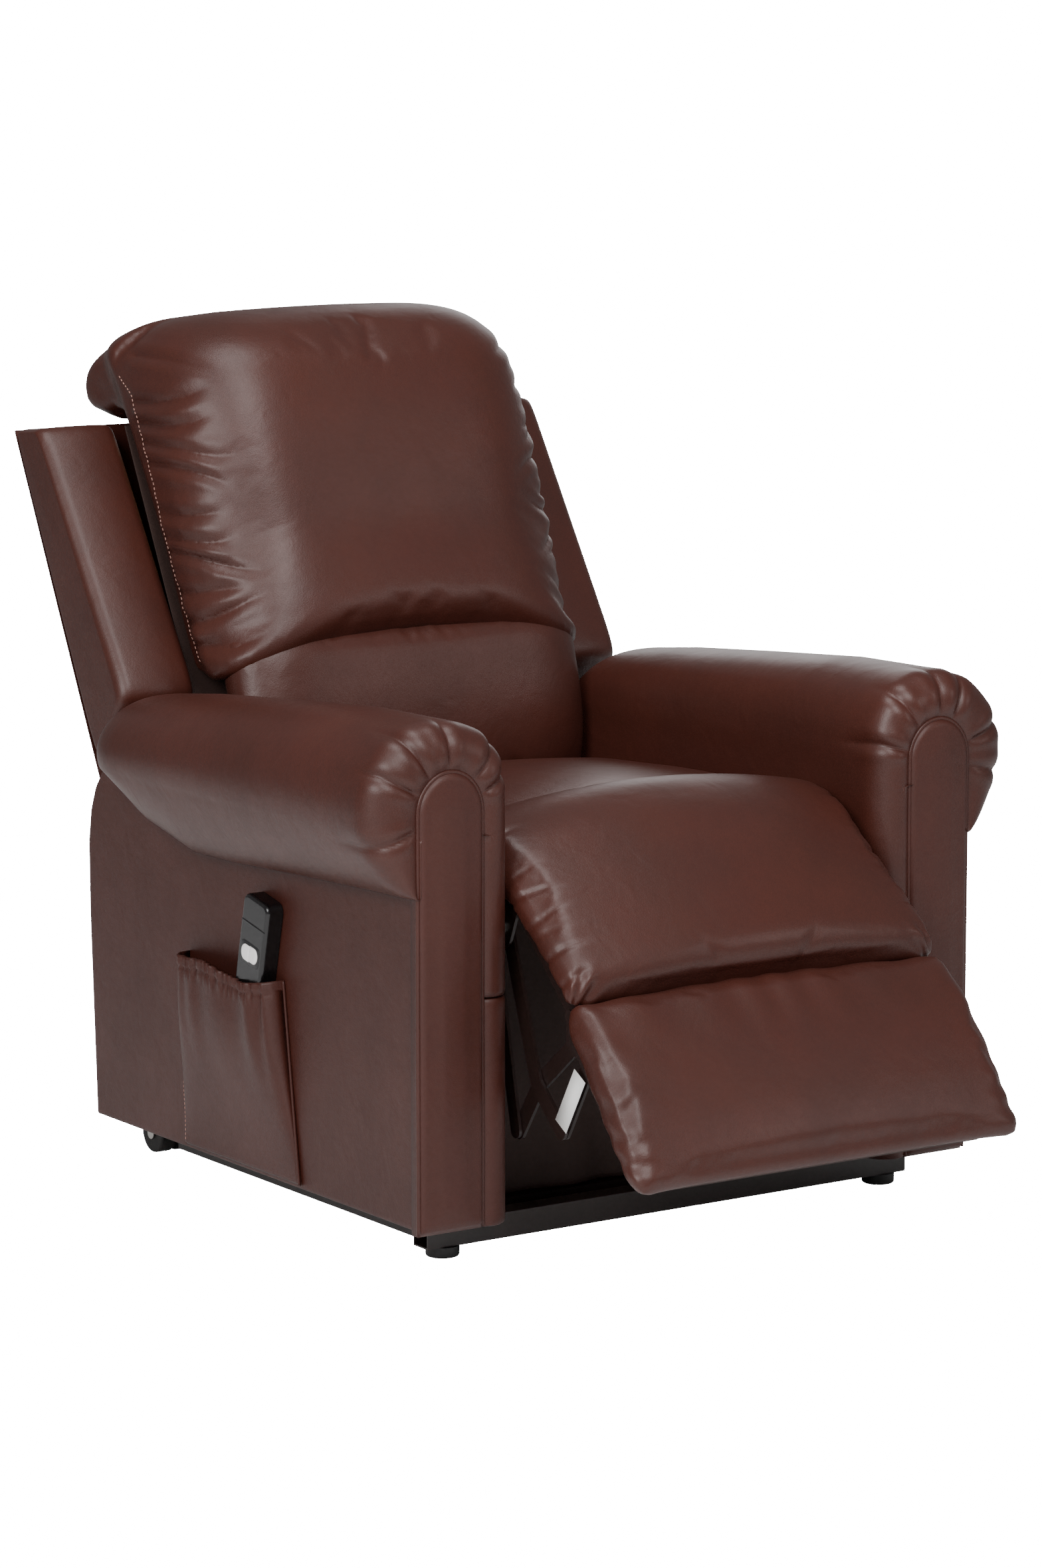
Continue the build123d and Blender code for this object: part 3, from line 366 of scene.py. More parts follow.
turned = np.radians(np.linspace(-30, 90, 22))  # the front edge, turned in to the arch as part of an ellipse
rings = []
for a in turned:
    yz = rim + (skin - rim) * (math.sin(a) + 0.5) / 1.5
    rings.append(np.concatenate([yz, np.full((len(skin), 1), 0.022 - 0.037 * math.cos(a))], 1))
closing = 0.60 + 0.042 * np.sin(np.linspace(0.15, np.pi / 2, 12))
for y in np.concatenate([np.linspace(0.028, 0.60, 66), closing]):
    top = np.interp(y, [0.03, 0.175, 0.35, 0.51, 0.61, 0.65], [0.633, 0.630, 0.616, 0.602, 0.590, 0.584])
    stations = [0.0, 0.06, 0.20, 0.37, 0.46, 0.55, 0.59, 0.64]
    low = np.interp(y, stations, [0.437, 0.436, 0.431, 0.423, 0.422, 0.443, 0.470, 0.505])
    outer = (skin[:, 0] > lip_x) & (skin[:, 1] < belt)
    x = skin[:, 0]
    z = np.where(skin[:, 1] > belt, belt + (skin[:, 1] - belt) * (top - belt) / 0.127, skin[:, 1])
    z = np.where(outer, belt - (belt - z) * (belt - low) / 0.069, z)
    shrink = 1 - 0.62 * (1 - math.sqrt(1 - min(1.0, max(0.0, (y - 0.565) / 0.08)) ** 2))
    x = np.where(x > lip_x, lip_x + (x - lip_x) * shrink, x)
    close = math.sqrt(1 - min(1.0, max(0.0, (y - 0.60) / 0.0425)) ** 2) * 0.45 + 0.55
    z = np.where(skin[:, 1] > belt, belt + (z - belt) * close, z)
    rings.append(np.stack([x, z, np.full(len(x), y)], -1))
rings = np.stack(rings)[:, :, [0, 2, 1]]
pleats = np.radians([160.0, 127.0, 92.0, 60.0, 24.0, -14.0])
for hand, side in (("left", 1), ("right", -1)):
    place = rings * [side, 1, 1] + [0, front, 0]
    roll = make_piece(f"arm_scroll_{hand}", *lofted(place), hide)

    def gathered(p):
        """Pleats that run back from the arch: sharp folds round the arch's centre, with the hide puffed
        between them, fading out by 85 mm back."""
        angle = np.arctan2(p[:, 2] - arch[1], p[:, 0] * side - arch[0])
        back_off = p[:, 1] - front
        depth = np.zeros(len(p))
        for k, pleat in enumerate(pleats):
            drift = 1.2 * np.clip(back_off, 0, 1) * math.sin(1.7 * k + 2 * side)
            lean = pleat + 0.10 * math.sin(2.3 * k + side) + drift
            away = np.abs(np.angle(np.exp(1j * (angle - lean))))
            length = 0.045 + 0.022 * math.sin(3.1 * k + side)
            fade = 1 - ramp(back_off, 0.004, length + 0.02)
            depth -= (0.0044 + 0.0012 * math.sin(5 * k)) * np.exp(-away / 0.045) * fade
            depth += 0.0014 * np.exp(-((away - 0.16) / 0.10) ** 2) * (1 - ramp(back_off, 0.0, length))
        over_arch = np.maximum(p[:, 2] - arch[1], 0) * arch_half / arch_rise
        from_rim = np.hypot(p[:, 0] * side - arch[0], over_arch) - arch_half
        return depth * ramp(p[:, 2], 0.440, 0.470) * ramp(from_rim, 0.001, 0.016)

    press(roll, gathered)
    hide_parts(f"arm_roll_{hand}", f"arm_border_{hand}")
    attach(roll, "seat_unit")

    # The lower half of the border and of the inner arm, sewn on at the seam 31 cm up.
    a = np.radians(np.linspace(-30, 90, 20))
    arch_side = arch[0] - arch_half
    strip_x = arch_side - (arch_side - 0.2625) * (np.sin(a) + 0.5) / 1.5
    strip = np.stack([strip_x, 0.022 - 0.037 * np.cos(a)], -1)
    inner = np.stack([np.full(12, 0.2640), np.linspace(0.030, 0.30, 12)], -1)
    z = np.concatenate([[0.0455, 0.047], np.linspace(0.052, 0.306, 40), [0.3095, 0.3125]])
    fold = np.concatenate([[0.003, 0.0008], np.zeros(40), [0.0010, 0.0035]])
    path = smooth_path(np.concatenate([strip, inner[2:]]), 90)
    tangent = np.gradient(path, axis=0)
    inward = np.stack([-tangent[:, 1], tangent[:, 0]], -1) / np.linalg.norm(tangent, axis=1, keepdims=True)
    inward *= np.sign(inward[0, 1])
    outer_skin = path[None] + inward[None] * fold[:, None, None]
    inner_skin = path[None] + inward[None] * 0.006 + 0 * outer_skin
    grids = [
        np.stack([side * g[..., 0], g[..., 1] + front, z[:, None] + 0 * g[..., 0]], -1)
        for g in (outer_skin, inner_skin)
    ]
    lower = make_piece(f"arm_lower_border_{hand}", *between(*grids), panel_hide)
    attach(lower, "seat_unit")
    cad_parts[f"inner_arm_{hand}"].data.materials.clear()
    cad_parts[f"inner_arm_{hand}"].data.materials.append(panel_hide)


# ---- Seat: a foam cushion under a loose hide, and in front of it the thick leg pad, which is sewn on to it,
# rolls over the front rail and runs down the upper footrest board to the seam.


def stuffed(
    name, outline, spine, half, rounding, power, crown, look, flare=0.0, around=150, stations=101, square=None
):
    """A stuffed piece across the chair from its side-view section. At each end, over the last rounding
    metres, the section shrinks on to its spine as a superellipse of that power; crown lifts the middle of
    the chair by a parabola, and flare widens the piece as it goes down. square(y, z) adds to the power at
    a point of the section, where the end is boxy instead of round."""
    edge = smooth_path(outline, around, closed=True)
    bone = smooth_path(spine, 240)
    core = bone[np.argmin(np.linalg.norm(edge[:, None] - bone[None], axis=2), axis=1)]
    for _ in range(40):
        core = (np.roll(core, 1, axis=0) + core + np.roll(core, -1, axis=0)) / 3
    u = np.sin(np.linspace(-np.pi / 2, np.pi / 2, stations))[:, None, None]
    reach = np.clip((abs(u) - 1 + rounding / half) * half / rounding, 0, 1)
    power = power + (0 if square is None else square(edge[:, 0], edge[:, 1])[None, :, None])
    size = (1 - reach**power) ** (1 / power)
    out = (edge - core) / np.linalg.norm(edge - core, axis=1, keepdims=True)
    lift = crown * (1 - u**2) * size * np.sqrt(np.clip(out[:, 1:] * 1.4, 0, 1))
    section = core + (edge - core) * size + out * lift
    x = u[..., 0] * (half + flare * (edge[None, :, 1].max() - edge[None, :, 1]))
    rings = np.concatenate([x[..., None], section + [front, 0]], -1)
    return make_piece(name, *lofted(rings), look)


def own_mesh(piece):
    """Replaces a piece's mesh by what its modifiers make of it, and clears them."""
    made = bpy.data.meshes.new_from_object(piece.evaluated_get(bpy.context.evaluated_depsgraph_get()))
    piece.modifiers.clear()
    piece.data = made
    made.polygons.foreach_set("use_smooth", np.ones(len(made.polygons), bool))


def settle(piece, cap, voxel=0.006):
    """Lets the leather find its own shape over the filling: it is cloth blown up from inside for 20
    frames. No point ends more than cap metres from where it began."""
    even = piece.modifiers.new("even", "REMESH")
    even.mode, even.voxel_size = "VOXEL", voxel
    own_mesh(piece)
    before = np.empty(len(piece.data.vertices) * 3, np.float32)
    piece.data.vertices.foreach_get("co", before)
    cloth = piece.modifiers.new("cloth", "CLOTH")
    cloth.settings.quality = 4
    cloth.settings.mass = 0.3
    cloth.settings.use_pressure = True
    cloth.settings.uniform_pressure_force = 3.5
    cloth.settings.effector_weights.gravity = 0.0
    cloth.settings.tension_stiffness = cloth.settings.compression_stiffness = 20.0
    cloth.point_cache.frame_start, cloth.point_cache.frame_end = 1, 20
    for step in range(1, 21):
        bpy.context.scene.frame_set(step)
    own_mesh(piece)
    bpy.context.scene.frame_set(1)
    after = np.empty_like(before)
    piece.data.vertices.foreach_get("co", after)
    moved = (after - before).reshape(-1, 3)
    moved *= np.minimum(1, cap / np.maximum(np.linalg.norm(moved, axis=1, keepdims=True), 1e-9))
    piece.data.vertices.foreach_set("co", (before.reshape(-1, 3) + moved).astype(np.float32).ravel())
    piece.data.update()
    finer = piece.modifiers.new("finer", "SUBSURF")
    finer.levels = finer.render_levels = 1
    own_mesh(piece)


seat = stuffed(
    "seat_pad",
    [(0.545, 0.422), (0.556, 0.440), (0.550, 0.458), (0.520, 0.467), (0.420, 0.474), (0.320, 0.480),
     (0.220, 0.481), (0.165, 0.470), (0.115, 0.452), (0.090, 0.438), (0.095, 0.421), (0.320, 0.419)],
    [(0.500, 0.440), (0.120, 0.440)], 0.2615, 0.050, 2.3, 0.017, hide)
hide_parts("seat_cushion")
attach(seat, "seat_unit")

leg_pad = stuffed(
    "leg_pad",
    [(0.140, 0.452), (0.143, 0.470), (0.124, 0.487), (0.082, 0.488), (0.040, 0.473), (0.005, 0.450),
     (-0.030, 0.424), (-0.065, 0.394), (-0.093, 0.368), (-0.111, 0.349), (-0.1205, 0.333),
     (-0.1215, 0.318), (-0.112, 0.307), (-0.060, 0.352), (-0.012, 0.396), (0.030, 0.424),
     (0.080, 0.434), (0.130, 0.440)],
    [(0.118, 0.458), (0.060, 0.452), (0.0, 0.424), (-0.060, 0.370), (-0.105, 0.325)], 0.2625, 0.034, 2.2,
    0.028, hide, flare=0.03)


def leg_creases(p):
    """Puckers along both edges, where the pad is sewn to its side strip, and short folds that fan out from
    the two lower corners."""
    y, z, x = p[:, 1] - front, p[:, 2], np.abs(p[:, 0])
    run = (0.12 - y) * 0.72 + (0.50 - z) * 0.69
    edge = ramp(x, 0.205, 0.250) * (1 - ramp(x, 0.262, 0.268))
    depth = np.zeros(len(p))
    for k in range(11):
        centre = 0.035 + 0.029 * k + 0.006 * math.sin(4.1 * k)
        lean = (x - 0.25) * (0.25 * math.sin(2.7 * k))
        fold = np.exp(-((run - centre - lean) / 0.0045) ** 2)
        depth -= 0.0016 * (1 + 0.5 * math.sin(1.9 * k)) * fold * edge
    sewn = 1 - ramp(run, 0.258, 0.300)
    corner = np.hypot(x - 0.262, run - 0.31)
    fan = np.sin(np.arctan2(run - 0.31, 0.262 - x) * 13)
    return depth * sewn + 0.0016 * fan * np.exp(-((corner - 0.030) / 0.022) ** 2)


settle(leg_pad, 0.006)
press(leg_pad, leg_creases)
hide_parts("calf_pad")
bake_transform(leg_pad)


# ---- Foot pad: the lower footrest, a hide over foam on a board, sewn to the leg pad at a pinched cross seam
# and rounded under at its lower edge.
foot_pad = stuffed(
    "foot_rest_pad",
    [(-0.1225, 0.3185), (-0.141, 0.314), (-0.165, 0.294), (-0.190, 0.266), (-0.215, 0.234),
     (-0.238, 0.200), (-0.258, 0.165), (-0.271, 0.144), (-0.2755, 0.134), (-0.269, 0.126),
     (-0.250, 0.130), (-0.228, 0.150), (-0.200, 0.178), (-0.170, 0.215), (-0.140, 0.252),
     (-0.118, 0.282), (-0.112, 0.303)],
    [(-0.126, 0.300), (-0.180, 0.245), (-0.225, 0.182), (-0.252, 0.148)], 0.270, 0.020, 2.6, 0.010, hide,
    flare=0.045)
settle(foot_pad, 0.005)


def foot_creases(p):
    """Puckers where the pad is gathered into the cross seam, and along its side strips."""
    x, z = p[:, 0], p[:, 2]
    near_seam = ramp(z, 0.268, 0.314)
    depth = 0.0009 * np.sin(x * 95 + 1.6 * np.sin(x * 21)) * near_seam
    side_edge = ramp(np.abs(x), 0.225, 0.262)
    return depth + 0.0008 * np.sin(z * 190 + 2 * np.sin(z * 37)) * side_edge


press(foot_pad, foot_creases)
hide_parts("foot_pad")
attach(foot_pad, "foot")


# ---- Back: a lumbar pad, and above it a deep pillow that is stitched down both sides, gathered there,
# hooked over the top of the frame, and arched along its lower edge.
lumbar = stuffed(
    "lumbar_cushion",
    [(0.575, 0.432), (0.566, 0.450), (0.562, 0.490), (0.566, 0.540), (0.576, 0.590), (0.592, 0.640),
     (0.620, 0.668), (0.665, 0.660), (0.690, 0.625), (0.668, 0.550), (0.650, 0.480), (0.630, 0.435),
     (0.600, 0.424)],
    [(0.610, 0.455), (0.612, 0.520), (0.640, 0.630)], 0.258, 0.110, 2.3, 0.0, hide)
settle(lumbar, 0.005)
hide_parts("lumbar_pad")



def seam_y(z):
    """How far back the pillow's side seam lies at a height, joined up in straight runs."""
    return np.interp(z, [0.60, 0.70, 0.79, 0.87, 0.93, 1.0], [0.694, 0.741, 0.779, 0.816, 0.846, 0.87])


def boxy(y, z):
    """Behind the seam the end is a boxy gusset, and the foot is squarer than the front; the top is round."""
    gusset = 9 * ramp(y - seam_y(z), 0.0, 0.012) * (1 - 0.85 * ramp(z, 0.90, 0.99))
    return gusset + 1.6 * (1 - ramp(z, 0.58, 0.66))


pillow = stuffed(
    "back_pillow",
    [(0.604, 0.588), (0.589, 0.606), (0.590, 0.640), (0.610, 0.704), (0.635, 0.772), (0.664, 0.859),
     (0.690, 0.928), (0.716, 0.975), (0.752, 1.004), (0.805, 1.018), (0.862, 1.016), (0.915, 1.001),
     (0.956, 0.976), (0.978, 0.940), (0.970, 0.906), (0.935, 0.896), (0.885, 0.912), (0.852, 0.880),
     (0.800, 0.775), (0.765, 0.700), (0.732, 0.632), (0.700, 0.588), (0.650, 0.574)],
    [(0.694, 0.606), (0.744, 0.707), (0.779, 0.790), (0.816, 0.870), (0.846, 0.926), (0.885, 0.955),
     (0.932, 0.948)],
    0.2625, 0.150, 2.45, 0.010, hide, around=230, stations=131, square=boxy)
settle(pillow, 0.006, voxel=0.0066)

rng = np.random.default_rng(7)
gathers = []
for side in (1, -1):
    for height in np.linspace(0.635, 0.965, 11):
        height += rng.uniform(-0.008, 0.008)
        slope, strength, length = rng.uniform(-0.30, 0.30), rng.uniform(0.6, 1.25), rng.uniform(0.045, 0.095)
        gathers.append((side, height, slope, strength, length))


def pillow_creases(p):
    """Gathers: narrow folds that run in from the side seams, each with its own slope, length and depth, and
    a low ridge on either side."""
    x, y, z = p[:, 0], p[:, 1] - front, p[:, 2]
    depth = np.zeros(len(p))
    forward = ramp(seam_y(z) - y, 0.0, 0.02)
    for side, height, slope, strength, length in gathers:
        inward = 0.262 - x * side
        along = z - height - slope * inward + 0.010 * np.sin(inward * 40 + height * 50)
        window = ramp(inward, -0.012, 0.004) * (1 - ramp(inward, length * 0.20, length)) * (x * side > 0)
        width = 0.0035 + 0.05 * np.clip(inward, 0, 1)
        depth -= 0.0042 * strength * window * np.exp(-np.abs(along) / width) * forward
        depth += 0.0020 * strength * window * np.exp(-((np.abs(along) - 0.014) / 0.008) ** 2) * forward
    return depth


press(pillow, pillow_creases)
place = np.empty(len(pillow.data.vertices) * 3, np.float32)
pillow.data.vertices.foreach_get("co", place)
place = place.reshape(-1, 3)
# The lower edge is cut as an arch: it rises 46 mm in the middle of the chair, less and less up to 80 cm high.
arch_lift = 0.046 * np.maximum(np.cos(place[:, 0] / 0.262 * np.pi / 2), 0) ** 0.8
place[:, 2] += arch_lift * (1 - ramp(place[:, 2], 0.58, 0.80))
# Ahead of the wings nothing holds the pillow in, and it swells 4.5 % wider.
place[:, 0] *= 1 + 0.045 * ramp(0.672 + (place[:, 2] - 0.578) * 0.645 - (place[:, 1] - front), 0.0, 0.045)
pillow.data.vertices.foreach_set("co", place.ravel())
pillow.data.update()
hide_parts("back_cushion")
for piece, fill in ((lumbar, 0.8), (pillow, 0.8)):
    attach(piece, "backrest")


# ---- Back wings: foam-edged boards on both sides of the pillow, with crisp corners and a pointed foot.
# The cover closes the back; a soft skirt under it hides the gap down to the rear panel.
for hand, side in (("left", 1), ("right", -1)):
    corner = [(0.684, 0.578), (0.886, 0.891), (0.9516, 0.8847), (0.7526, 0.4817)]
    outline = []
    for k in range(4):
        here, after = np.array(corner[k]), np.array(corner[(k + 1) % 4])
        outline.append(here + (after - here) * np.linspace(0, 1, 40, endpoint=False)[:, None])
    edge = np.concatenate(outline)
    for _ in range(14):
        edge = (np.roll(edge, 1, axis=0) + edge + np.roll(edge, -1, axis=0)) / 3
    bone = np.linspace((0.735, 0.555), (0.905, 0.868), 120)
    core = bone[np.argmin(np.linalg.norm(edge[:, None] - bone[None], axis=2), axis=1)]
    u = np.sin(np.linspace(-np.pi / 2, np.pi / 2, 61))[:, None, None]
    reach = np.clip((abs(u) - 1 + 0.016 / 0.055) * 0.055 / 0.016, 0, 1)
    size = 1 - 0.24 * (1 - np.sqrt(1 - reach**2))
    forward = np.clip(-(edge - core)[:, :1] * 0.897 + (edge - core)[:, 1:] * 0.443, 0, 0.03) / 0.03
    section = core + (edge - core) * size + np.array([-0.897, 0.443]) * 0.007 * forward * (1 - u**2)
    x = side * (0.3185 + 0.0545 * u[..., 0]) + 0 * edge[None, :, 0]
    rings = np.concatenate([x[..., None], section + [front, 0]], -1)
    wing = make_piece(f"wing_{hand}", *lofted(rings), hide)
    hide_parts(f"back_wing_{hand}")
    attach(wing, "backrest")

up = np.array([0.4427, 0.8966])
ahead = np.array([-0.8966, 0.4427])
run = (-0.038 + 0.486 * across)[:, None] * np.ones(61)
x = -0.371 + 0.742 * across[None, :] + 0 * run
inset = np.minimum(np.minimum(run + 0.038, 0.448 - run), 0.371 - np.abs(x))
crowned = np.sin(np.pi * across) ** 0.4
rise = 0.0015 + eased(inset, 0.006) - 0.0035 * crowned[:, None] * crowned[None, :]
rise += 0.0014 * (np.exp(-((np.abs(x) - 0.235) / 0.0022) ** 2))
grids = []
for lift in (rise, 0 * rise + 0.0065):
    yz = np.array([0.758, 0.479]) + up * run[..., None] + ahead * lift[..., None]
    grids.append(np.stack([x, yz[..., 0] + front, yz[..., 1]], -1))
cover = make_piece("back_panel", *between(*grids), panel_hide)
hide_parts("back_cover")
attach(cover, "backrest")

# A dark lining is stretched over the front of the back's timber frame, between the wings.
run = (-0.055 + 0.470 * across)[:, None] * np.ones(61)
x = -0.2638 + 0.5276 * across[None, :] + 0 * run
grids = []
for lift in (0.0916, 0.0904):
    yz = np.array([0.758, 0.479]) + up * run[..., None] + ahead * lift
    grids.append(np.stack([x, yz[..., 0] + front, yz[..., 1]], -1))
platform = make_piece("back_platform_cloth", *between(*grids), lining)
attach(platform, "backrest")

t = np.linspace(0, 1, 25)[:, None]
x = np.linspace(-0.368, 0.368, 121)[None, :]
sag = 0.006 * np.sin(np.pi * t) + 0.0016 * np.sin(x * 70) * np.sin(np.pi * t)
y = 0.7215 + 0.0235 * t + sag
z = 0.335 + 0.118 * t + 0 * x
grids = [np.stack([x + 0 * y, y + shift + front, z], -1) for shift in (0.0015, -0.0015)]
skirt = make_piece("rear_skirt", *between(*grids), lining)
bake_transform(skirt)

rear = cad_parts["rear_panel"]
rear.data.materials.clear()
rear.data.materials.append(panel_hide)
soft_edge = rear.modifiers.new("edge", "BEVEL")
soft_edge.width = 0.004
soft_edge.segments = 4


# ---- Pocket: a leather pouch for the handset, sewn to the right side panel.
# Its mouth is gathered on an elastic hem.
u = np.linspace(0, 1, 101)[None, :]
w = np.linspace(0, 1, 71)[:, None]
near = 0.2555 + 0.033 * w
far = 0.5200 - 0.015 * w
y = near + (far - near) * u
droop = 0.010 * np.sin(np.pi * np.clip(u * 1.6, 0, 1)) * w**3
z = 0.051 + 0.242 * w + 0.004 * np.sin(np.pi * u) ** 2 * w - droop
full = np.sqrt(1 - np.abs(2 * u - 1) ** 9)
bulge = 0.0035 + 0.0255 * full * ramp(w, -0.05, 0.80)
fan = np.sin(u * 27 + 2.2 * np.sin(u * 7) + (1 - w) * (6 * u - 1))
rays = (0.0012 + 0.0026 * ramp(-u, -0.75, -0.1)) * fan * ramp(w, 0.35, 0.97) * full
ruche = 0.0019 * np.sin(u * 118 + 2 * np.sin(u * 31)) * ramp(w, 0.86, 0.95) * full
hem = 0.0012 * ramp(w, 0.944, 0.952) - 0.0012 * np.exp(-((w - 0.942) / 0.006) ** 2)
edge = np.minimum(np.minimum(u, 1 - u) * 0.25, w * 0.24)
bulge = bulge + rays + ruche + hem - eased(edge, 0.0032)
grids = []
for out in (bulge, bulge - 0.0028):
    grids.append(np.stack([-(0.385 + np.maximum(out, 0.0006)), y + front + 0 * out, z + 0 * out], -1))
pocket = make_piece("hand_pocket", *between(*grids), panel_hide)
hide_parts("pocket")
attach(pocket, "seat_unit")

edge_path = np.stack(
    [np.full(70, -0.3880), np.linspace(0.2560, 0.2885, 70) + front, np.linspace(0.052, 0.292, 70)], -1
)
piping = cord_along("pocket_piping", edge_path, 0.0018, panel_hide)
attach(piping, "seat_unit")


# ---- Stitching: light pinkish-tan thread, 4 mm stitches, sunk a little into the leather.
# It runs down both sides of the pillow and along the pocket's rear edge.


def stitched(name, path, body, pitch=0.0062, length=0.0040, radius=0.00055):
    """Separate stitches along a path of points: each is a small spindle laid along the path."""
    run = np.concatenate([[0], np.cumsum(np.linalg.norm(np.diff(path, axis=0), axis=1))])
    centres = np.arange(pitch / 2, run[-1] - pitch / 2, pitch)
    ends = [
        np.stack([np.interp(centres + shift, run, path[:, k]) for k in range(3)], -1)
        for shift in (-length / 2, length / 2)
    ]
    along = ends[1] - ends[0]
    along /= np.linalg.norm(along, axis=1, keepdims=True)
    first = np.cross(along, [0.31, 0.94, 0.13])
    first /= np.linalg.norm(first, axis=1, keepdims=True)
    second = np.cross(along, first)
    t = np.linspace(-1, 1, 7)[None, :, None, None]
    turn = np.linspace(0, 2 * np.pi, 6, endpoint=False)[None, None, :, None]
    middle = (ends[0] + ends[1])[:, None, None] / 2
    fat = radius * np.sqrt(np.clip(1 - t**4, 0, 1))
    round_it = np.cos(turn) * first[:, None, None] + np.sin(turn) * second[:, None, None]
    points = middle + along[:, None, None] * t * length / 2 + fat * round_it
    grid = np.arange(points[..., 0].size).reshape(points.shape[:3])
    beside = np.roll(grid, -1, axis=2)
    quads = np.stack([grid[:, :-1], grid[:, 1:], beside[:, 1:], beside[:, :-1]], -1).reshape(-1, 4)
    piece = make_piece(name, points.reshape(-1, 3), quads, thread)
    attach(piece, body)
    return piece


def laid_on(piece, path, lift):
    """A path drawn on to the nearest points of a piece's skin, raised by lift."""
    laid = []
    for point in path:
        place, normal = piece.closest_point_on_mesh(point.tolist())[1:3]
        laid.append(np.array(place) + np.array(normal) * lift)
    return np.array(laid)


for hand, side in (("left", 1), ("right", -1)):
    seam = smooth_path(
        [(0.686, 0.602), (0.712, 0.655), (0.735, 0.707), (0.770, 0.790), (0.806, 0.870),
         (0.836, 0.926), (0.872, 0.958)], 60)
    path = np.stack([np.full(60, side * 0.290), seam[:, 0] - 0.004 + front, seam[:, 1]], -1)
    stitched(f"pillow_stitches_{hand}", laid_on(pillow, path, 0.0002), "backrest")
rear_edge = np.stack(
    [np.full(50, -0.3925), np.linspace(0.5160, 0.5015, 50) + front, np.linspace(0.056, 0.286, 50)], -1
)
stitched(
    "pocket_stitches", laid_on(pocket, rear_edge, 0.0002), "seat_unit", pitch=0.0055, length=0.0036,
    radius=0.0004
)


# ---- Handset keys and details: two half-pill keys, up and down, meeting on a fine gap in a shallow plate.
tip, foot = np.array([0.314, 0.388]), np.array([0.347, 0.238])  # ends of the handset's centre line, (y, z)
stem = (tip - foot) / np.linalg.norm(tip - foot)
cross = np.array([stem[1], -stem[0]])
bow = np.radians(np.linspace(-90, 90, 24))
for name in ("button_up", "button_down"):
    low, high = (np.array(c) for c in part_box(name))
    middle = (low + high)[1:] / 2 - [front, 0]
    other = np.add(*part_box("button_down" if name == "button_up" else "button_up"))[1:] / 2 - [front, 0]
    away = np.sign((middle - other) @ cross) * cross
    curved = np.stack([0.0015 + 0.0085 * np.cos(bow), 0.0098 * np.sin(bow)], -1)
    straight = np.stack([np.full(12, -0.0078), np.linspace(0.0098, -0.0098, 12)], -1)
    half_pill = np.concatenate([curved, straight])
    rings = []
    cap = ((0.0008, 1.0), (0.0003, 0.97), (0.0, 0.90), (-0.0002, 0.5))
    for x, size in ((high[0], 1.0), *((low[0] + rise, size) for rise, size in cap)):
        yz = middle + half_pill[:, :1] * size * away + half_pill[:, 1:] * size * stem
        rings.append(np.stack([np.full(len(yz), x), yz[:, 0] + front, yz[:, 1]], -1))
    key = make_piece(name + "_key", *lofted(np.array(rings)), white_plastic)
    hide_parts(name)
    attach(key, name)
# A shallow dark plate round the keys, and the step across the upper third of the case.
keys = (np.add(*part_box("button_up")) + np.add(*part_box("button_down")))[1:] / 4 - [front, 0]
face_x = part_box("handset")[0][0]
turn = np.linspace(0, 2 * np.pi, 64, endpoint=False)
unit_rim = np.stack([np.sign(c) * abs(c) ** 0.35 for c in (np.cos(turn), np.sin(turn))], -1)
for name, centre, wide, long, x in (
    ("handset_plate", keys, 0.021, 0.0135, face_x - 0.0004),
    ("handset_step", keys + stem * 0.036, 0.0255, 0.0012, face_x - 0.0006),
):
    rim = unit_rim * [wide, long]
    rings = []
    for depth, size in ((face_x + 0.001, 1.0), (x + 0.0002, 1.0), (x, 0.97)):
        yz = centre + rim[:, :1] * size * cross + rim[:, 1:] * size * stem
        rings.append(np.stack([np.full(len(yz), depth), yz[:, 0] + front, yz[:, 1]], -1))
    plate = make_piece(name, *lofted(np.array(rings)), plastic)
    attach(plate, "handset")


# ---- Footrest flap: a woven lining cloth, hung from the seat's front rail to just above the base.
# It hides the inside of the chair behind the linkage.
t = np.linspace(0, 1, 60)[:, None]
x = np.linspace(-0.229, 0.229, 161)[None, :]
wave = 0.0045 * np.sin(x * 62 + 1.3 * np.sin(x * 17)) * (0.25 + 0.75 * t)
y = 0.1015 + wave
z = 0.400 - 0.353 * t + 0 * x
grids = [np.stack([x + 0 * y, y + shift + front, z], -1) for shift in (-0.0006, 0.0006)]
flap = make_piece("flap_cloth", *between(*grids), lining)
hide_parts("footrest_flap")
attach(flap, "seat_unit")


# ---- Label: a blank white paper label stuck on the outside of the right stay link.
low, high = np.array([-0.0800, 0.1690]), np.array([-0.1180, 0.2350])
along = (high - low) / np.linalg.norm(high - low)
beside = np.array([along[1], -along[0]]) * 0.0125
corners = np.array([low - beside, low + beside, high - beside, high + beside]) + [front, 0]
grids = [np.concatenate([np.full((4, 1), x), corners], 1).reshape(2, 2, 3) for x in (-0.2461, -0.2459)]
label = make_piece("blank_label", *between(*grids), paper)
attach(label, "stay_link")


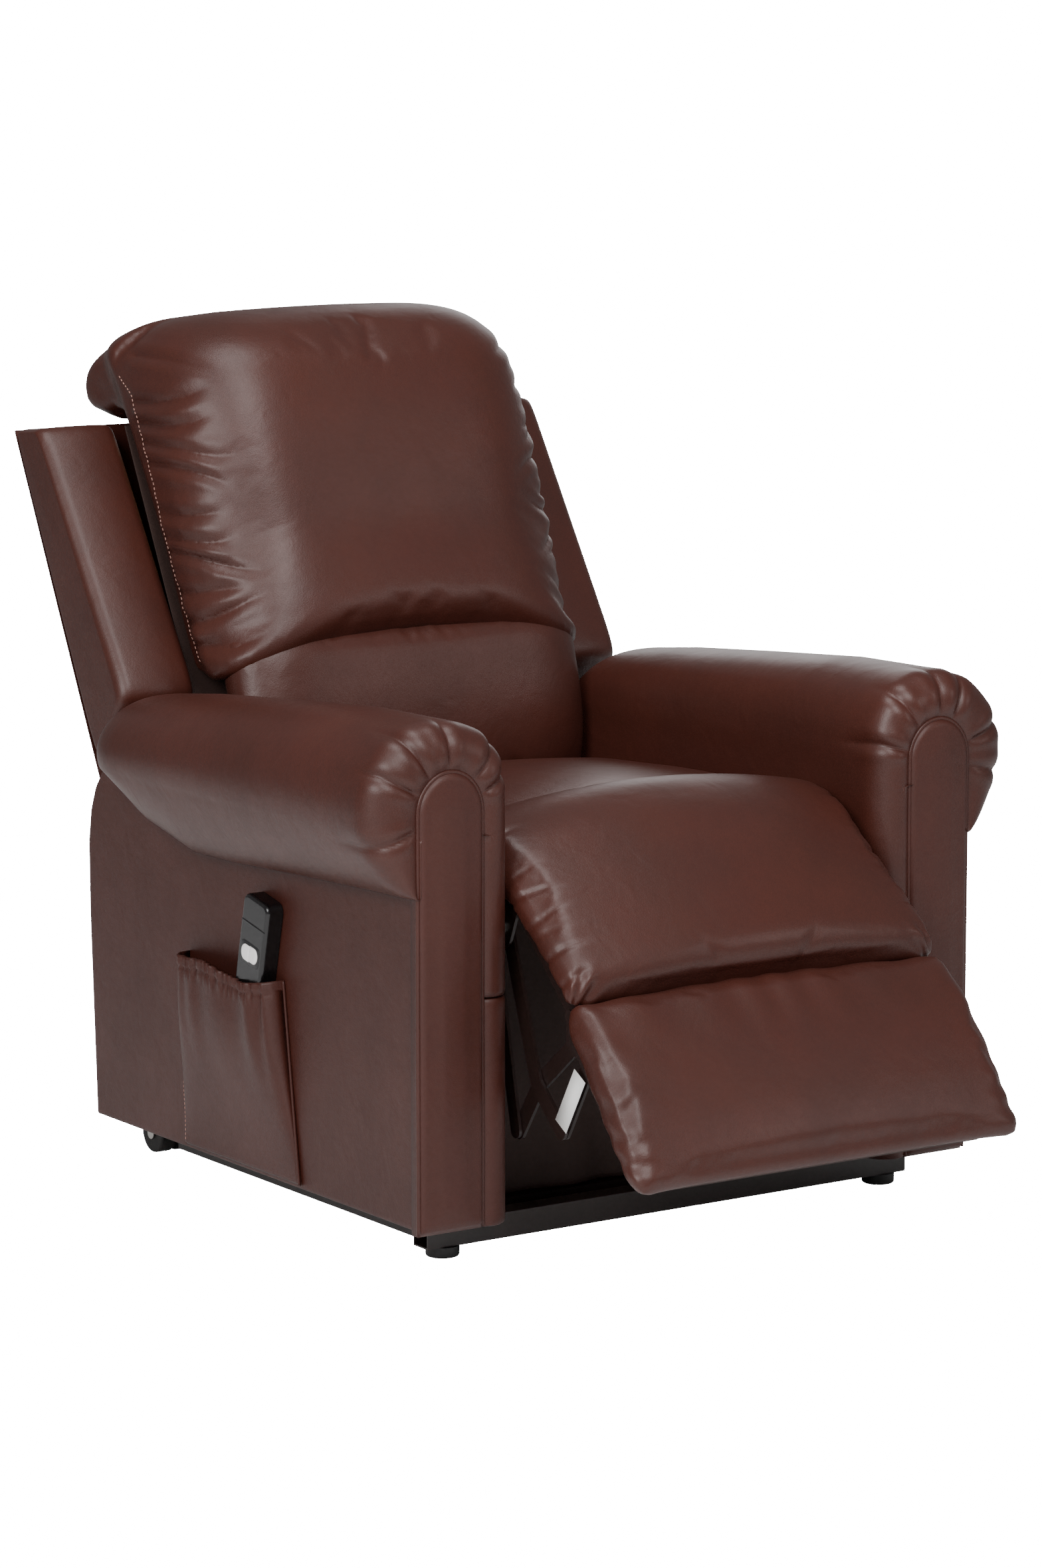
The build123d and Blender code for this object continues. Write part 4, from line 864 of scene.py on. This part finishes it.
# ---- Studio: a white seamless floor, large softboxes high on the left and in front, and weaker ones on the
# right, above and behind. The floor and the world look plain white to the camera and light the chair less.
floor_look, tree = new_look("white_floor")
matte = add(tree, "BsdfDiffuse", {"Color": (0.92, 0.92, 0.92, 1)})
seen = add(tree, "LightPath").outputs["Is Camera Ray"]
lit = add(tree, "MapRange", {"To Min": 0.0, "To Max": 26.0}, {"Value": seen})
glow = add(tree, "Emission", {"Color": (1, 1, 1, 1)}, {"Strength": lit.outputs[0]})
both = add(tree, "AddShader", {}, {0: matte.outputs[0], 1: glow.outputs[0]})
add(tree, "OutputMaterial", {}, {"Surface": both.outputs[0]})
corners = np.array([[-40, -40, 0], [40, -40, 0], [40, 40, 0], [-40, 40, 0]], float)
floor_mesh = bpy.data.meshes.new("floor")
floor_mesh.from_pydata(corners.tolist(), [], [[0, 1, 2, 3]])
floor_mesh.materials.append(floor_look)
floor = bpy.data.objects.new("floor", floor_mesh)
bpy.context.scene.collection.objects.link(floor)

world = bpy.data.worlds.new("white_studio")
bpy.context.scene.world = world
world.use_nodes = True
world.node_tree.nodes.clear()
seen = add(world.node_tree, "LightPath").outputs["Is Camera Ray"]
lit = add(world.node_tree, "MapRange", {"To Min": 0.28, "To Max": 30.0}, {"Value": seen})
sky = add(world.node_tree, "Background", {"Color": (1, 1, 1, 1)}, {"Strength": lit.outputs[0]})
add(world.node_tree, "OutputWorld", {}, {"Surface": sky.outputs[0]})

for name, place, aim, size, power in (
    ("softbox_left", (-3.4, -2.0, 2.4), (0, 0, 0.6), 1.7, 135),
    ("softbox_front", (-0.9, -3.2, 3.7), (0, 0, 0.6), 1.9, 135),
    ("softbox_right", (2.6, -3.4, 2.0), (0, 0, 0.6), 1.2, 20),
    ("top_box", (-0.4, -0.4, 3.4), (0, 0, 0.5), 1.4, 52),
    ("back_box", (2.6, 2.8, 1.6), (0, 0, 0.6), 1.6, 18),
):
    lamp = bpy.data.lights.new(name, "AREA")
    lamp.size, lamp.energy = size, power
    light = bpy.data.objects.new(name, lamp)
    light.location = place
    away = np.array(place) - np.array(aim)
    flat_run = math.hypot(away[0], away[1])
    light.rotation_euler = (math.atan2(flat_run, away[2]), 0, math.atan2(away[0], -away[1]))
    bpy.context.scene.collection.objects.link(light)

turn, tilt = math.radians(-34.17), math.radians(9.5)
lens = bpy.data.cameras.new("camera")
lens.lens, lens.sensor_width = 124.85, 36.0
camera = bpy.data.objects.new("camera", lens)
camera.location = (-3.673, -5.401, 1.574)
camera.rotation_euler = (math.pi / 2 - tilt, 0, turn)
bpy.context.scene.collection.objects.link(camera)
bpy.context.scene.camera = camera
